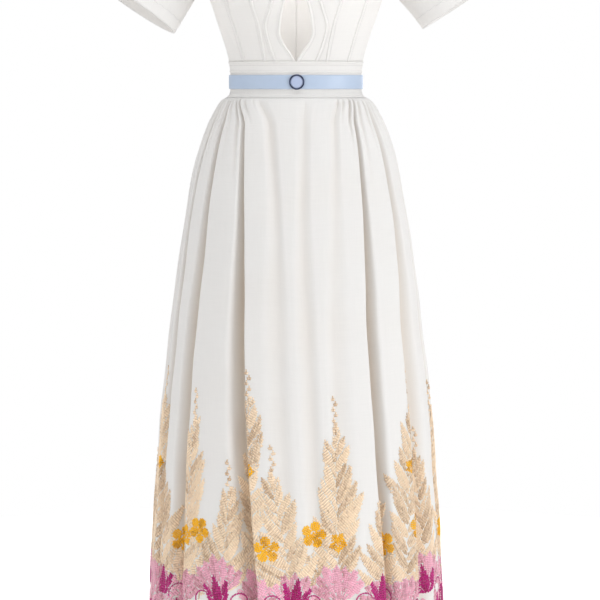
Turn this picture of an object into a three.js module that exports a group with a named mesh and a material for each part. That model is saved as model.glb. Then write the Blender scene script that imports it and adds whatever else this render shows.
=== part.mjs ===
// A white floor-length gown with short set-in sleeves, a leaf-shaped keyhole in the bodice, a stitched
// waistband, a narrow belt with a ring buckle and a long gathered skirt. It keeps the hollow form that
// it has when it is worn. Millimetres, +Z up, the front faces -Y and the wearer's left is +X.
// The origin lies between the middles of the two shoulder seams, where the wearer holds the gown.
import * as THREE from "three";

// Driving dimensions, mm

const CLOTH = 1.6; // bodice and sleeve wall
const SKIRT_CLOTH = 1.5;
const MOST_CREASED = 0.6; // the least cosine of a crease's half turn that the wall makes up for
const SEAM_GAP = 0.3; // between two pieces that are sewn together
const BELT_LEVEL = -400; // the middle of the belt under the shoulder seams
const BAND_TOP = 37; // heights above the middle of the belt are called rises
const BAND_BOTTOM = -28;
const WAIST_STEPS = 36; // facets of the waistband and the belt all round
const BELT_WIDTH = 25.5;
const BELT_THICK = 2;
const BELT_STANDOFF = 0.6; // between the waistband and the belt
const BELT_ROUNDING = 2; // width of the belt's thinner edges
const BUCKLE_OUTER = 28;
const BUCKLE_BAND = 2.6;
const BUCKLE_DEPTH = 2.4;
const BUCKLE_ASIDE = 1.5; // from the centre line towards the wearer's left
const BUCKLE_FACETS = 28;
const DISC_THICK = 1.2;
const SKIRT_LENGTH = 1050;
const HEM_DROP = SKIRT_LENGTH - BAND_BOTTOM; // depths under the middle of the belt are called drops
const ARMPIT = 178;
const CHEST = 290; // above this rise the form closes towards the shoulder seams
const NECK_SIDE = 78; // half the width of the neck opening
const NECK_RISE = 412; // the top of the shoulder seam
const SHOULDER_SLOPE = 0.34;
const NECK_FRONT = 332;
const NECK_BACK = 397;
const WELT_WIDTH = 4;
const WELT_HEIGHT = 1.3;
const CUFF_HALF_WIDTH = 84;
const CUFF_HALF_DEPTH = 50;
const CUFF_FORWARD = 8; // the middle of each cuff in front of the shoulder seam
const ARM_LEAN = 33.5; // degrees between the sleeve's axis and the vertical
const SLEEVE_REACH = 0.36; // how far a sleeve keeps its direction at each end, as a share of its length

// Tables: one row for each level, smoothed between rows by curveOf

// the waist and the chest: ellipses with their own depth to the front and to the back
const torso = [
  { rise: BAND_BOTTOM, half: 125, front: 90, back: 88 },
  { rise: -15, half: 121, front: 86, back: 84 },
  { rise: 15, half: 121, front: 86, back: 84 },
  { rise: BAND_TOP, half: 123.5, front: 89, back: 86 },
  { rise: 78, half: 134, front: 99, back: 90 },
  { rise: 115, half: 147, front: 108, back: 94 },
  { rise: 152, half: 159, front: 113, back: 98 },
  { rise: 178, half: 168, front: 114, back: 101 },
  { rise: 240, half: 178, front: 108, back: 104 },
  { rise: 300, half: 186, front: 96, back: 101 },
  { rise: 360, half: 191, front: 84, back: 93 },
  { rise: 425, half: 195, front: 76, back: 84 },
];

// the skirt's outer ellipses
const skirtForm = [
  { drop: -BAND_BOTTOM, half: 127, front: 91, back: 90 },
  { drop: 34, half: 138, front: 95, back: 99 },
  { drop: 52, half: 151, front: 101, back: 110 },
  { drop: 89, half: 169, front: 109, back: 124 },
  { drop: 163, half: 190, front: 124, back: 146 },
  { drop: 237, half: 204, front: 138, back: 163 },
  { drop: 385, half: 226, front: 163, back: 190 },
  { drop: 607, half: 252, front: 200, back: 224 },
  { drop: 866, half: 270, front: 233, back: 256 },
  { drop: HEM_DROP, half: 280, front: 252, back: 274 },
];

// seam lines of the bodice front: distance from the centre line
const keyholeEdge = [
  { rise: BAND_TOP, out: 0.3 },
  { rise: 52, out: 9.5 },
  { rise: 70, out: 22 },
  { rise: 89, out: 28.5 },
  { rise: 115, out: 26 },
  { rise: 152, out: 17 },
  { rise: 180, out: 8 },
  { rise: 200, out: 0.3 },
  { rise: 425, out: 0.3 },
];
const innerSeam = [
  { rise: BAND_TOP, out: 34 },
  { rise: 65, out: 45 },
  { rise: 100, out: 53 },
  { rise: 130, out: 45 },
  { rise: 160, out: 38 },
  { rise: 210, out: 38 },
  { rise: 300, out: 55 },
  { rise: NECK_RISE, out: NECK_SIDE },
];
const middleSeam = [
  { rise: BAND_TOP, out: 53 },
  { rise: 96, out: 64 },
  { rise: 152, out: 80 },
  { rise: 250, out: 98 },
  { rise: 402, out: 109 },
];
const outerSeam = [
  { rise: BAND_TOP, out: 92 },
  { rise: 96, out: 109 },
  { rise: 152, out: 126 },
  { rise: 250, out: 137 },
  { rise: 390, out: 143 },
];
const centreBack = [
  { rise: BAND_TOP, out: 0 },
  { rise: 425, out: 0 },
];
// a column of the back that ends where the shoulder seam starts
const backNeckLine = [
  { rise: BAND_TOP, out: 48 },
  { rise: NECK_RISE, out: NECK_SIDE },
];

// the armhole's edge, as a share of the chest's half width: 1 is the side seam
const armhole = [
  { rise: ARMPIT, share: 1 },
  { rise: 192, share: 0.955 },
  { rise: 215, share: 0.905 },
  { rise: 258, share: 0.86 },
  { rise: 310, share: 0.865 },
  { rise: 350, share: 0.915 },
  { rise: 375, share: 0.975 },
];

// the waistband, from its lower seam to its upper one: raised cords beside a plain middle
const bandRows = [
  { rise: BAND_BOTTOM, raise: 2 },
  { rise: -22, raise: 2 },
  { rise: -20.5, raise: 0.2 },
  { rise: -15, raise: 0 },
  { rise: 15, raise: 0 },
  { rise: 16.5, raise: 1.4 },
  { rise: 21, raise: 0.2 },
  { rise: 31, raise: 0.2 },
  { rise: 32.5, raise: 1.4 },
  { rise: BAND_TOP, raise: 1.4 },
];

// the folds of the skirt in their order round the waist, from the wearer's right over the front:
// the angle of each valley from the front centre and its depth at five levels, and its width at the
// hem on each side, as a share of the way to the neighbouring valley
const foldLevels = [-BAND_BOTTOM, 80, 260, 487, HEM_DROP];
const folds = [
  { angles: [-86, -85, -84, -83, -84], depths: [3, 6, 10, 14, 18], before: 0.7, after: 0.5 },
  { angles: [-74, -69, -71.5, -70, -69], depths: [4, 10, 19, 27, 30], before: 0.7, after: 0.4 },
  { angles: [-60, -54, -53, -54.5, -53], depths: [5, 11, 19, 27, 31], before: 0.7, after: 0.3 },
  { angles: [-50, -35, -28, -24.5, -12], depths: [6, 15, 25, 32, 30], before: 0.6, after: 0.24 },
  { angles: [-31, -17, -10, -8, 0], depths: [3, 6, 5, 5, 6], before: 0.9, after: 0.9 },
  { angles: [7, 5, 3, 5, 11], depths: [1, 4, 6, 7, 8], before: 0.9, after: 0.9 },
  { angles: [35, 25, 20, 17, 20], depths: [3, 5, 4, 5, 10], before: 0.8, after: 0.9 },
  { angles: [50, 41, 37.5, 35, 40], depths: [6, 13, 23, 31, 29], before: 0.24, after: 0.7 },
  { angles: [66, 61, 63, 59, 58], depths: [5, 10, 15, 19, 20], before: 0.4, after: 0.8 },
  { angles: [84, 83, 83, 82, 83], depths: [4, 8, 12, 17, 22], before: 0.5, after: 0.7 },
  { angles: [101, 101, 102, 103, 102], depths: [5, 11, 20, 29, 34], before: 0.35, after: 0.7 },
  { angles: [119, 120, 121, 122, 124], depths: [5, 9, 16, 21, 26], before: 0.6, after: 0.8 },
  { angles: [137, 138, 139, 141, 143], depths: [5, 13, 24, 33, 38], before: 0.3, after: 0.6 },
  { angles: [155, 156, 157, 158, 160], depths: [4, 8, 13, 19, 24], before: 0.7, after: 0.8 },
  { angles: [171, 172, 173, 175, 178], depths: [5, 11, 20, 29, 32], before: 0.4, after: 0.6 },
  { angles: [190, 190, 190, 191, 192], depths: [4, 7, 12, 17, 22], before: 0.8, after: 0.7 },
  { angles: [208, 208, 207, 206, 207], depths: [5, 11, 21, 29, 33], before: 0.6, after: 0.3 },
  { angles: [226, 225, 224, 223, 222], depths: [4, 8, 14, 20, 24], before: 0.8, after: 0.7 },
  { angles: [243, 242, 242, 241, 240], depths: [5, 10, 19, 27, 32], before: 0.7, after: 0.35 },
  { angles: [259, 260, 260, 259, 259], depths: [4, 7, 12, 16, 20], before: 0.8, after: 0.7 },
];
// folds are narrower in their upper part: this share of their width down to the first drop, and
// from there on more and more, up to the full width at the second drop
const narrowFolds = { share: 0.6, from: 150, to: 450 };
const FOLD_STATIONS = [0, 0.14, 0.3, 0.52, 0.74, 0.88]; // columns between two valleys
const GATHER_DEPTH = 5; // short gathers under the waistband
const GATHER_LENGTH = 125;
const FLAT_FRONT = 34; // degrees to each side of the front centre with hardly a gather
const skirtDrops = [
  SEAM_GAP / 2 - BAND_BOTTOM, 34, 44, 60, 82, 115, 160, 220, 300, 400, 510, 640, 780, 930, HEM_DROP,
];

// each sleeve: the middle of its cuff, and how far the arm swings forwards in degrees
const sleeves = [
  { side: "left", sign: 1, out: 303, rise: 143, forward: 3 },
  { side: "right", sign: -1, out: 293, rise: 136, forward: 10 },
];

// Materials

function cloth(colour) {
  return new THREE.MeshStandardMaterial({ color: colour, roughness: 0.72, metalness: 0 });
}
const white = cloth(0xf1f0ee);
const beltBlue = new THREE.MeshStandardMaterial({ color: 0xb4c7e8, roughness: 0.45 });
const slate = new THREE.MeshStandardMaterial({ color: 0x4a4f6a, roughness: 0.3, metalness: 0.9 });
const enamel = new THREE.MeshStandardMaterial({ color: 0xb9bfe2, roughness: 0.25 });

// Curves and points

// a smooth curve through a table's rows: cubic pieces whose slope at a row is the harmonic mean of
// the slopes beside it, or none where they change sign
function curveOf(rows, at, value) {
  const last = rows.length - 1;
  const slope = (i) => (rows[i + 1][value] - rows[i][value]) / (rows[i + 1][at] - rows[i][at]);
  const tangent = (i) => {
    if (i === 0) return slope(0);
    if (i === last) return slope(last - 1);
    const before = slope(i - 1);
    const after = slope(i);
    return before * after <= 0 ? 0 : (2 * before * after) / (before + after);
  };
  return (x) => {
    let i = 0;
    while (i < last - 1 && x > rows[i + 1][at]) i += 1;
    const width = rows[i + 1][at] - rows[i][at];
    const s = THREE.MathUtils.clamp((x - rows[i][at]) / width, 0, 1);
    const bend = s * s * (3 - 2 * s);
    const leave = s * (1 - s) * (1 - s) * width;
    const arrive = s * s * (1 - s) * width;
    return (
      rows[i][value] * (1 - bend) +
      rows[i + 1][value] * bend +
      tangent(i) * leave -
      tangent(i + 1) * arrive
    );
  };
}

const torsoHalf = curveOf(torso, "rise", "half");
const torsoFront = curveOf(torso, "rise", "front");
const torsoBack = curveOf(torso, "rise", "back");
const armholeShare = curveOf(armhole, "rise", "share");

function shoulderRise(x) {
  return NECK_RISE - SHOULDER_SLOPE * Math.max(0, Math.abs(x) - NECK_SIDE);
}

// soft mounds that the front's cut gives, one on each side, with the shape of a bell
const mound = { out: 70, rise: 168, halfWidth: 46, halfHeight: 58, depth: 9 };
function moundDepth(x, rise) {
  const out = (Math.abs(x) - mound.out) / mound.halfWidth;
  const up = (rise - mound.rise) / mound.halfHeight;
  return mound.depth * Math.exp(-out * out - up * up);
}

// a point of the bodice: turn is the angle from the front centre, so 90 degrees is the side seam
function torsoPoint(sign, turn, rise) {
  const x = torsoHalf(rise) * Math.sin(turn);
  const climb = THREE.MathUtils.clamp((rise - CHEST) / (shoulderRise(x) - CHEST), 0, 1);
  const closing = Math.sqrt(1 - climb * climb);
  const depth = Math.cos(turn) > 0 ? torsoFront(rise) : torsoBack(rise);
  const y = -depth * Math.cos(turn) * closing;
  const forward = y < 0 ? moundDepth(x, rise) * Math.cos(turn) : 0;
  return new THREE.Vector3(sign * x, y - forward, BELT_LEVEL + rise);
}

// the outward direction of a surface given as a function of two parameters
function outwardOf(surface, u, v, stepU, stepV) {
  const acrossU = surface(u + stepU, v).sub(surface(u - stepU, v));
  const acrossV = surface(u, v + stepV).sub(surface(u, v - stepV));
  return acrossU.cross(acrossV).normalize();
}

// Solids from grids: outer and inner are arrays of columns of points

function meshFrom(name, positions, triangles, material) {
  let volume = 0;
  for (let i = 0; i < triangles.length; i += 3) {
    const [a, b, c] = [0, 1, 2].map((k) => positions[triangles[i + k]]);
    volume += a.dot(b.clone().cross(c));
  }
  if (volume < 0) triangles.reverse();
  const geometry = new THREE.BufferGeometry();
  geometry.setAttribute(
    "position",
    new THREE.Float32BufferAttribute(positions.flatMap((p) => [p.x, p.y, p.z]), 3),
  );
  geometry.setIndex(triangles);
  geometry.computeVertexNormals();
  const mesh = new THREE.Mesh(geometry, material);
  mesh.name = name;
  return mesh;
}

// a wall of cloth between two grids, closed by its four edges, or by two rims if it runs all round
function wall(name, outer, inner, material, round = false) {
  const columns = outer.length;
  const rows = outer[0].length;
  const positions = [...outer.flat(), ...inner.flat()];
  const outside = (i, j) => (i % columns) * rows + j;
  const inside = (i, j) => columns * rows + outside(i, j);
  const triangles = [];
  const quad = (a, b, c, d) => triangles.push(a, b, c, a, c, d);
  const last = round ? columns : columns - 1;
  for (let i = 0; i < last; i += 1) {
    for (let j = 0; j < rows - 1; j += 1) {
      quad(outside(i, j), outside(i + 1, j), outside(i + 1, j + 1), outside(i, j + 1));
      quad(inside(i, j), inside(i, j + 1), inside(i + 1, j + 1), inside(i + 1, j));
    }
    quad(outside(i, 0), inside(i, 0), inside(i + 1, 0), outside(i + 1, 0));
    const top = rows - 1;
    quad(outside(i, top), outside(i + 1, top), inside(i + 1, top), inside(i, top));
  }
  if (!round) {
    const end = columns - 1;
    for (let j = 0; j < rows - 1; j += 1) {
      quad(outside(0, j), outside(0, j + 1), inside(0, j + 1), inside(0, j));
      quad(outside(end, j), inside(end, j), inside(end, j + 1), outside(end, j + 1));
    }
  }
  return meshFrom(name, positions, triangles, material);
}

// Bodice

const LOW_ROWS = 8; // from the waistband to the armpit
const HIGH_ROWS = 12; // from the armpit to the shoulder or the neck

// a line up the bodice, as the angle from the front centre at each rise
function seamTurn(rows, shift = 0) {
  const out = curveOf(rows, "rise", "out");
  return (rise) => Math.asin(Math.min(1, (out(rise) + shift) / torsoHalf(rise)));
}
function armholeTurn(rise) {
  return rise <= ARMPIT ? Math.PI / 2 : Math.asin(armholeShare(rise));
}

function frontTop(x) {
  if (x >= NECK_SIDE) return shoulderRise(x);
  return NECK_FRONT + (NECK_RISE - NECK_FRONT) * (x / NECK_SIDE) ** 2.6;
}
function backTop(x) {
  if (x >= NECK_SIDE) return shoulderRise(x);
  return NECK_BACK + (NECK_RISE - NECK_BACK) * (x / NECK_SIDE) ** 2.6;
}

// the rises of one column's points, closer together at the armpit and at the top
function columnRises(turnAt, topOf) {
  let top = NECK_RISE;
  for (let round = 0; round < 30; round += 1) {
    top = (top + topOf(torsoHalf(top) * Math.sin(turnAt(top)))) / 2;
  }
  const low = BAND_TOP + SEAM_GAP / 2;
  const rises = [];
  for (let i = 0; i < LOW_ROWS; i += 1) rises.push(low + ((ARMPIT - low) * i) / LOW_ROWS);
  for (let i = 0; i <= HIGH_ROWS; i += 1) {
    rises.push(ARMPIT + ((top - ARMPIT) * (1 - Math.cos((Math.PI * i) / HIGH_ROWS))) / 2);
  }
  return rises;
}

// one panel between guide lines; each guide gives its line, the columns up to the next guide, how far
// its points are raised, and for the panel's two edges the side to which half the seam gap is taken
function bodicePanel({ name, sign, back = false, guides }) {
  const topOf = back ? backTop : frontTop;
  const outer = [];
  const inner = [];
  guides.forEach((guide, k) => {
    const next = guides[k + 1];
    const steps = next ? guide.steps ?? 1 : 1;
    for (let step = 0; step < steps; step += 1) {
      const share = step / steps;
      const turnAt = (rise) =>
        next ? guide.turn(rise) * (1 - share) + next.turn(rise) * share : guide.turn(rise);
      const raise = next ? guide.raise * (1 - share) + next.raise * share : guide.raise;
      const edge = step === 0 ? guide.edge ?? 0 : 0;
      const outerColumn = [];
      const innerColumn = [];
      for (const rise of columnRises(turnAt, topOf)) {
        const turn = back ? Math.PI - turnAt(rise) : turnAt(rise);
        const spot = torsoPoint(sign, turn, rise);
        const outward = torsoOutward(sign, turn, rise);
        const aside = seamSide(sign, turn, rise).multiplyScalar((edge * SEAM_GAP) / 2);
        spot.add(aside);
        spot.y += (back ? 1 : -1) * shoulderGap(spot);
        outerColumn.push(spot.clone().addScaledVector(outward, raise));
        innerColumn.push(spot.clone().addScaledVector(outward, -CLOTH));
      }
      outer.push(outerColumn);
      inner.push(innerColumn);
    }
  });
  return wall(name, outer, inner, white);
}

// the outward direction, taken just below the top so that it stays clear of the closed shoulder line
function torsoOutward(sign, turn, rise) {
  const x = torsoHalf(rise) * Math.sin(turn);
  const height = Math.min(rise, shoulderRise(x) - 0.6);
  const surface = (u, v) => torsoPoint(sign, u, v);
  const outward = outwardOf(surface, turn, height, 0.004, 0.3);
  const away = torsoPoint(sign, turn, height);
  away.z = Math.max(0, away.z - BELT_LEVEL - CHEST);
  if (outward.dot(away) < 0) outward.negate();
  if (rise < BAND_TOP + 1) outward.setZ(0).normalize();
  const onShoulderSeam = x > NECK_SIDE - 1 && rise > shoulderRise(x) - 0.5;
  return onShoulderSeam ? outward.setY(0).normalize() : outward;
}

// the direction along the cloth, across a seam, in which the turn grows
function seamSide(sign, turn, rise) {
  const low = torsoPoint(sign, turn - 0.004, rise);
  return torsoPoint(sign, turn + 0.004, rise).sub(low).normalize();
}

// half the seam gap at the shoulder seam, fading out over a short way below and beside it
function shoulderGap(spot) {
  const fade = 30;
  const below = BELT_LEVEL + shoulderRise(spot.x) - spot.z;
  return Math.abs(spot.y) < fade && below < fade ? (SEAM_GAP / 2) * (1 - below / fade) : 0;
}

function bodice() {
  const pieces = [];
  const plain = 0;
  for (const [side, sign] of [["left", 1], ["right", -1]]) {
    const strip = (name, from, to, steps, edgeTurn) => ({
      name: `${name}_${side}`,
      sign,
      guides: [
        { turn: seamTurn(from), raise: WELT_HEIGHT, edge: 1 },
        { turn: seamTurn(from, WELT_WIDTH), raise: WELT_HEIGHT },
        { turn: seamTurn(from, WELT_WIDTH + 1), raise: plain, steps },
        { turn: edgeTurn ?? seamTurn(to), raise: plain, edge: -1 },
      ],
    });
    pieces.push(bodicePanel(strip("bodice_front_inner", keyholeEdge, innerSeam, 3)));
    pieces.push(bodicePanel(strip("bodice_front_middle", innerSeam, middleSeam, 2)));
    pieces.push(bodicePanel(strip("bodice_front_outer", middleSeam, outerSeam, 2)));
    pieces.push(bodicePanel(strip("bodice_side_front", outerSeam, null, 4, armholeTurn)));
    pieces.push(
      bodicePanel({
        name: `bodice_back_${side}`,
        sign,
        back: true,
        guides: [
          { turn: seamTurn(centreBack), raise: plain, edge: -1, steps: 3 },
          { turn: seamTurn(backNeckLine), raise: plain, steps: 5 },
          { turn: armholeTurn, raise: plain, edge: 1 },
        ],
      }),
    );
  }
  return pieces;
}

// Sleeves

const SLEEVE_ROWS = 7;

// the points of the armhole from the armpit up the front to the shoulder and down the back
function armholeRing(sign) {
  const rises = columnRises(armholeTurn, frontTop).slice(LOW_ROWS);
  const ring = rises.map((rise) => torsoPoint(sign, armholeTurn(rise), rise));
  for (let i = rises.length - 2; i > 0; i -= 1) {
    ring.push(torsoPoint(sign, Math.PI - armholeTurn(rises[i]), rises[i]));
  }
  return ring;
}

// a tube of cubic curves, each from an armhole point to its point on the tilted cuff
function sleeve({ side, sign, out, rise, forward }) {
  const lean = THREE.MathUtils.degToRad(ARM_LEAN);
  const swing = THREE.MathUtils.degToRad(forward);
  const axis = new THREE.Vector3(
    sign * Math.sin(lean) * Math.cos(swing),
    -Math.sin(swing),
    -Math.cos(lean) * Math.cos(swing),
  );
  const away = new THREE.Vector3(sign * Math.cos(lean), 0, Math.sin(lean));
  const ahead = axis.clone().cross(away).normalize();
  if (ahead.y > 0) ahead.negate();
  const middle = new THREE.Vector3(sign * out, -CUFF_FORWARD, BELT_LEVEL + rise);
  const overShoulder = new THREE.Vector3(sign, 0, -SHOULDER_SLOPE).normalize();
  const ring = armholeRing(sign);
  const count = ring.length;

  const along = (i, s) => {
    const angle = (2 * Math.PI * i) / count;
    const high = (1 - Math.cos(angle)) / 2;
    const start = axis.clone().lerp(overShoulder, high ** 0.8).normalize();
    const cuff = middle
      .clone()
      .addScaledVector(away, -CUFF_HALF_WIDTH * Math.cos(angle))
      .addScaledVector(ahead, CUFF_HALF_DEPTH * Math.sin(angle));
    const whole = ((Math.round(i) % count) + count) % count;
    const share = i - Math.round(i);
    const beside = ring[(whole + (share < 0 ? count - 1 : 1)) % count];
    const from = ring[whole].clone().lerp(beside, Math.abs(share));
    from.addScaledVector(start, SEAM_GAP);
    const reach = from.distanceTo(cuff) * SLEEVE_REACH;
    return new THREE.CubicBezierCurve3(
      from,
      from.clone().addScaledVector(start, reach),
      cuff.clone().addScaledVector(axis, -reach),
      cuff,
    ).getPoint(s);
  };

  const outer = [];
  const inner = [];
  for (let i = 0; i < count; i += 1) {
    const outerColumn = [];
    const innerColumn = [];
    for (let j = 0; j <= SLEEVE_ROWS; j += 1) {
      const s = j / SLEEVE_ROWS;
      const spot = along(i, s);
      const held = THREE.MathUtils.clamp(s, 0.02, 0.98);
      const outward = outwardOf(along, i, held, 0.3, 0.02).multiplyScalar(-sign);
      outerColumn.push(spot);
      innerColumn.push(spot.clone().addScaledVector(outward, -CLOTH));
    }
    outer.push(outerColumn);
    inner.push(innerColumn);
  }
  return wall(`sleeve_${side}`, outer, inner, white, true);
}

// Waistband, belt and buckle

// a point of an upright ellipse; angle 0 is the front centre and grows towards the wearer's left
function ellipsePoint(half, front, back, angle, z) {
  const depth = Math.cos(angle) > 0 ? front : back;
  return new THREE.Vector3(half * Math.sin(angle), -depth * Math.cos(angle), z);
}

// a column of points round the waist at one angle, each moved out from the body's ellipse
function waistColumn(angle, rows) {
  return rows.map(({ rise, raise }) => {
    const [half, front, back] = [torsoHalf, torsoFront, torsoBack].map((f) => f(rise) + raise);
    return ellipsePoint(half, front, back, angle, BELT_LEVEL + rise);
  });
}

// a strip of the band between two angles, with half the seam gap taken off at each end
function bandPiece(name, fromDegrees, toDegrees) {
  const steps = (WAIST_STEPS * (toDegrees - fromDegrees)) / 360;
  const trim = (SEAM_GAP / 2 / torsoFront(0)) * THREE.MathUtils.RAD2DEG;
  const insideRows = bandRows.map(({ rise }) => ({ rise, raise: -CLOTH }));
  const outer = [];
  const inner = [];
  for (let i = 0; i <= steps; i += 1) {
    const degrees = THREE.MathUtils.lerp(fromDegrees + trim, toDegrees - trim, i / steps);
    const angle = THREE.MathUtils.degToRad(degrees);
    outer.push(waistColumn(angle, bandRows));
    inner.push(waistColumn(angle, insideRows));
  }
  return wall(name, outer, inner, white);
}

function belt() {
  const edge = BELT_WIDTH / 2;
  const thin = BELT_STANDOFF + 0.6 * BELT_THICK;
  const thick = BELT_STANDOFF + BELT_THICK;
  const outerRows = [
    { rise: -edge, raise: thin },
    { rise: BELT_ROUNDING - edge, raise: thick },
    { rise: edge - BELT_ROUNDING, raise: thick },
    { rise: edge, raise: thin },
  ];
  const innerRows = outerRows.map(({ rise }) => ({ rise, raise: BELT_STANDOFF }));
  const outer = [];
  const inner = [];
  for (let i = 0; i < WAIST_STEPS; i += 1) {
    const angle = (2 * Math.PI * i) / WAIST_STEPS;
    outer.push(waistColumn(angle, outerRows));
    inner.push(waistColumn(angle, innerRows));
  }
  return wall("belt", outer, inner, beltBlue, true);
}

// the ring and the plain disc inside it stand on the belt's front, face to the viewer
function buckle() {
  const radius = BUCKLE_OUTER / 2;
  const front = -(torsoFront(0) + BELT_STANDOFF + BELT_THICK);
  const profile = [
    [radius - BUCKLE_BAND, 0],
    [radius, 0],
    [radius, BUCKLE_DEPTH * 0.6],
    [radius - BUCKLE_BAND * 0.3, BUCKLE_DEPTH],
    [radius - BUCKLE_BAND * 0.7, BUCKLE_DEPTH],
    [radius - BUCKLE_BAND, BUCKLE_DEPTH * 0.6],
    [radius - BUCKLE_BAND, 0],
  ].map(([r, h]) => new THREE.Vector2(r, h));
  const ring = new THREE.Mesh(new THREE.LatheGeometry(profile, BUCKLE_FACETS), slate);
  ring.name = "buckle_ring";
  const discRadius = radius - BUCKLE_BAND - SEAM_GAP;
  const plate = new THREE.CylinderGeometry(discRadius, discRadius, DISC_THICK, BUCKLE_FACETS);
  const disc = new THREE.Mesh(plate, enamel);
  disc.name = "buckle_disc";
  disc.position.y = DISC_THICK / 2;
  const fitting = new THREE.Group();
  fitting.add(ring, disc);
  fitting.rotation.x = Math.PI;
  fitting.position.set(BUCKLE_ASIDE, front - SEAM_GAP, BELT_LEVEL);
  return fitting;
}

// Skirt

const skirtHalf = curveOf(skirtForm, "drop", "half");
const skirtFront = curveOf(skirtForm, "drop", "front");
const skirtBack = curveOf(skirtForm, "drop", "back");

// a fold's angle or depth at any drop
function foldCurve(fold, key) {
  const rows = foldLevels.map((drop, i) => ({ drop, value: fold[key][i] }));
  return curveOf(rows, "drop", "value");
}
const valleys = folds.map((fold) => ({
  angle: foldCurve(fold, "angles"),
  depth: foldCurve(fold, "depths"),
  before: fold.before,
  after: fold.after,
}));

// how far a valley still reaches at this share of the way to its neighbour: a falling cosine
function valleyReach(share, width, drop) {
  const widening = THREE.MathUtils.smoothstep(drop, narrowFolds.from, narrowFolds.to);
  const s = share / (0.5 * width * THREE.MathUtils.lerp(narrowFolds.share, 1, widening));
  return s < 1 ? (1 + Math.cos(Math.PI * s)) / 2 : 0;
}

// the skirt's outer surface: a column lies a share of the way from one valley to the next
function skirtPoint(k, share, drop, gathered) {
  const here = valleys[k];
  const next = valleys[(k + 1) % valleys.length];
  const lapped = k + 1 === valleys.length ? 360 : 0;
  const degrees = THREE.MathUtils.lerp(here.angle(drop), next.angle(drop) + lapped, share);
  const angle = THREE.MathUtils.degToRad(degrees);
  const half = skirtHalf(drop);
  const depth = Math.cos(angle) > 0 ? skirtFront(drop) : skirtBack(drop);
  const spot = new THREE.Vector3(
    half * Math.sin(angle),
    -depth * Math.cos(angle),
    BELT_LEVEL - drop,
  );
  const outward = new THREE.Vector3(Math.sin(angle) / half, -Math.cos(angle) / depth, 0).normalize();
  const sunk =
    here.depth(drop) * valleyReach(share, here.after, drop) +
    next.depth(drop) * valleyReach(1 - share, next.before, drop);
  const fade = THREE.MathUtils.clamp(1 - (drop - BAND_TOP) / GATHER_LENGTH, 0, 1);
  const flat = Math.abs(((degrees + 540) % 360) - 180) < FLAT_FRONT ? 0.12 : 1;
  const gather = gathered ? GATHER_DEPTH * flat * fade : 0;
  return spot.addScaledVector(outward, -sunk - gather);
}

function skirt() {
  const outer = [];
  valleys.forEach((valley, k) => {
    FOLD_STATIONS.forEach((share, station) => {
      outer.push(skirtDrops.map((drop) => skirtPoint(k, share, drop, station % 2 === 0)));
    });
  });
  const count = outer.length;
  const rows = skirtDrops.length;
  const at = (i, j) => outer[(i + count) % count][THREE.MathUtils.clamp(j, 0, rows - 1)];
  const inner = outer.map((column, i) =>
    column.map((spot, j) => {
      const across = at(i + 1, j).clone().sub(at(i - 1, j)).normalize();
      const down = at(i, j + 1).clone().sub(at(i, j - 1)).normalize();
      const outward = down.clone().cross(across).normalize();
      const level = j === 0 || j === rows - 1;
      if (level) outward.setZ(0).normalize();
      // at a sharp crease the point moves further, so that the cloth beside it keeps its thickness
      const beside = down.cross(at(i + 1, j).clone().sub(spot)).normalize();
      const thickness = SKIRT_CLOTH / Math.max(MOST_CREASED, outward.dot(beside));
      return spot.clone().addScaledVector(outward, -thickness);
    }),
  );
  const aside = (i, direction) => {
    const shift = (grid) =>
      grid[i % count].map((spot, j) => {
        const across = at(i + 1, j).clone().sub(at(i - 1, j)).setZ(0).normalize();
        return spot.clone().addScaledVector(across, (direction * SEAM_GAP) / 2);
      });
    return [shift(outer), shift(inner)];
  };
  // the seams lie at the two sides and down the centre back, each a few columns after a valley
  const perFold = FOLD_STATIONS.length;
  const seamColumn = ({ fold, station }) => fold * perFold + station;
  const seams = {
    right: seamColumn({ fold: 0, station: 3 }),
    left: seamColumn({ fold: 9, station: 3 }),
    back: seamColumn({ fold: 14, station: 3 }),
  };
  const panel = (name, from, to) => {
    const [firstOuter, firstInner] = aside(from, 1);
    const [lastOuter, lastInner] = aside(to, -1);
    const between = (grid) => {
      const columns = [];
      for (let i = from + 1; i < to; i += 1) columns.push(grid[i % count]);
      return columns;
    };
    return wall(
      name,
      [firstOuter, ...between(outer), lastOuter],
      [firstInner, ...between(inner), lastInner],
      white,
    );
  };
  return [
    panel("skirt_front", seams.right, seams.left),
    panel("skirt_back_left", seams.left, seams.back),
    panel("skirt_back_right", seams.back, seams.right + count),
  ];
}

// The gown

const gown = new THREE.Group();
gown.add(...bodice());
gown.add(...sleeves.map(sleeve));
gown.add(bandPiece("waistband_front", -90, 90));
gown.add(bandPiece("waistband_back_left", 90, 180));
gown.add(bandPiece("waistband_back_right", 180, 270));
gown.add(belt(), buckle());
gown.add(...skirt());

export default gown;
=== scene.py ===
"""A white gown with a belt and a beaded hem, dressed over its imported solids. Metres."""
import math

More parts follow.
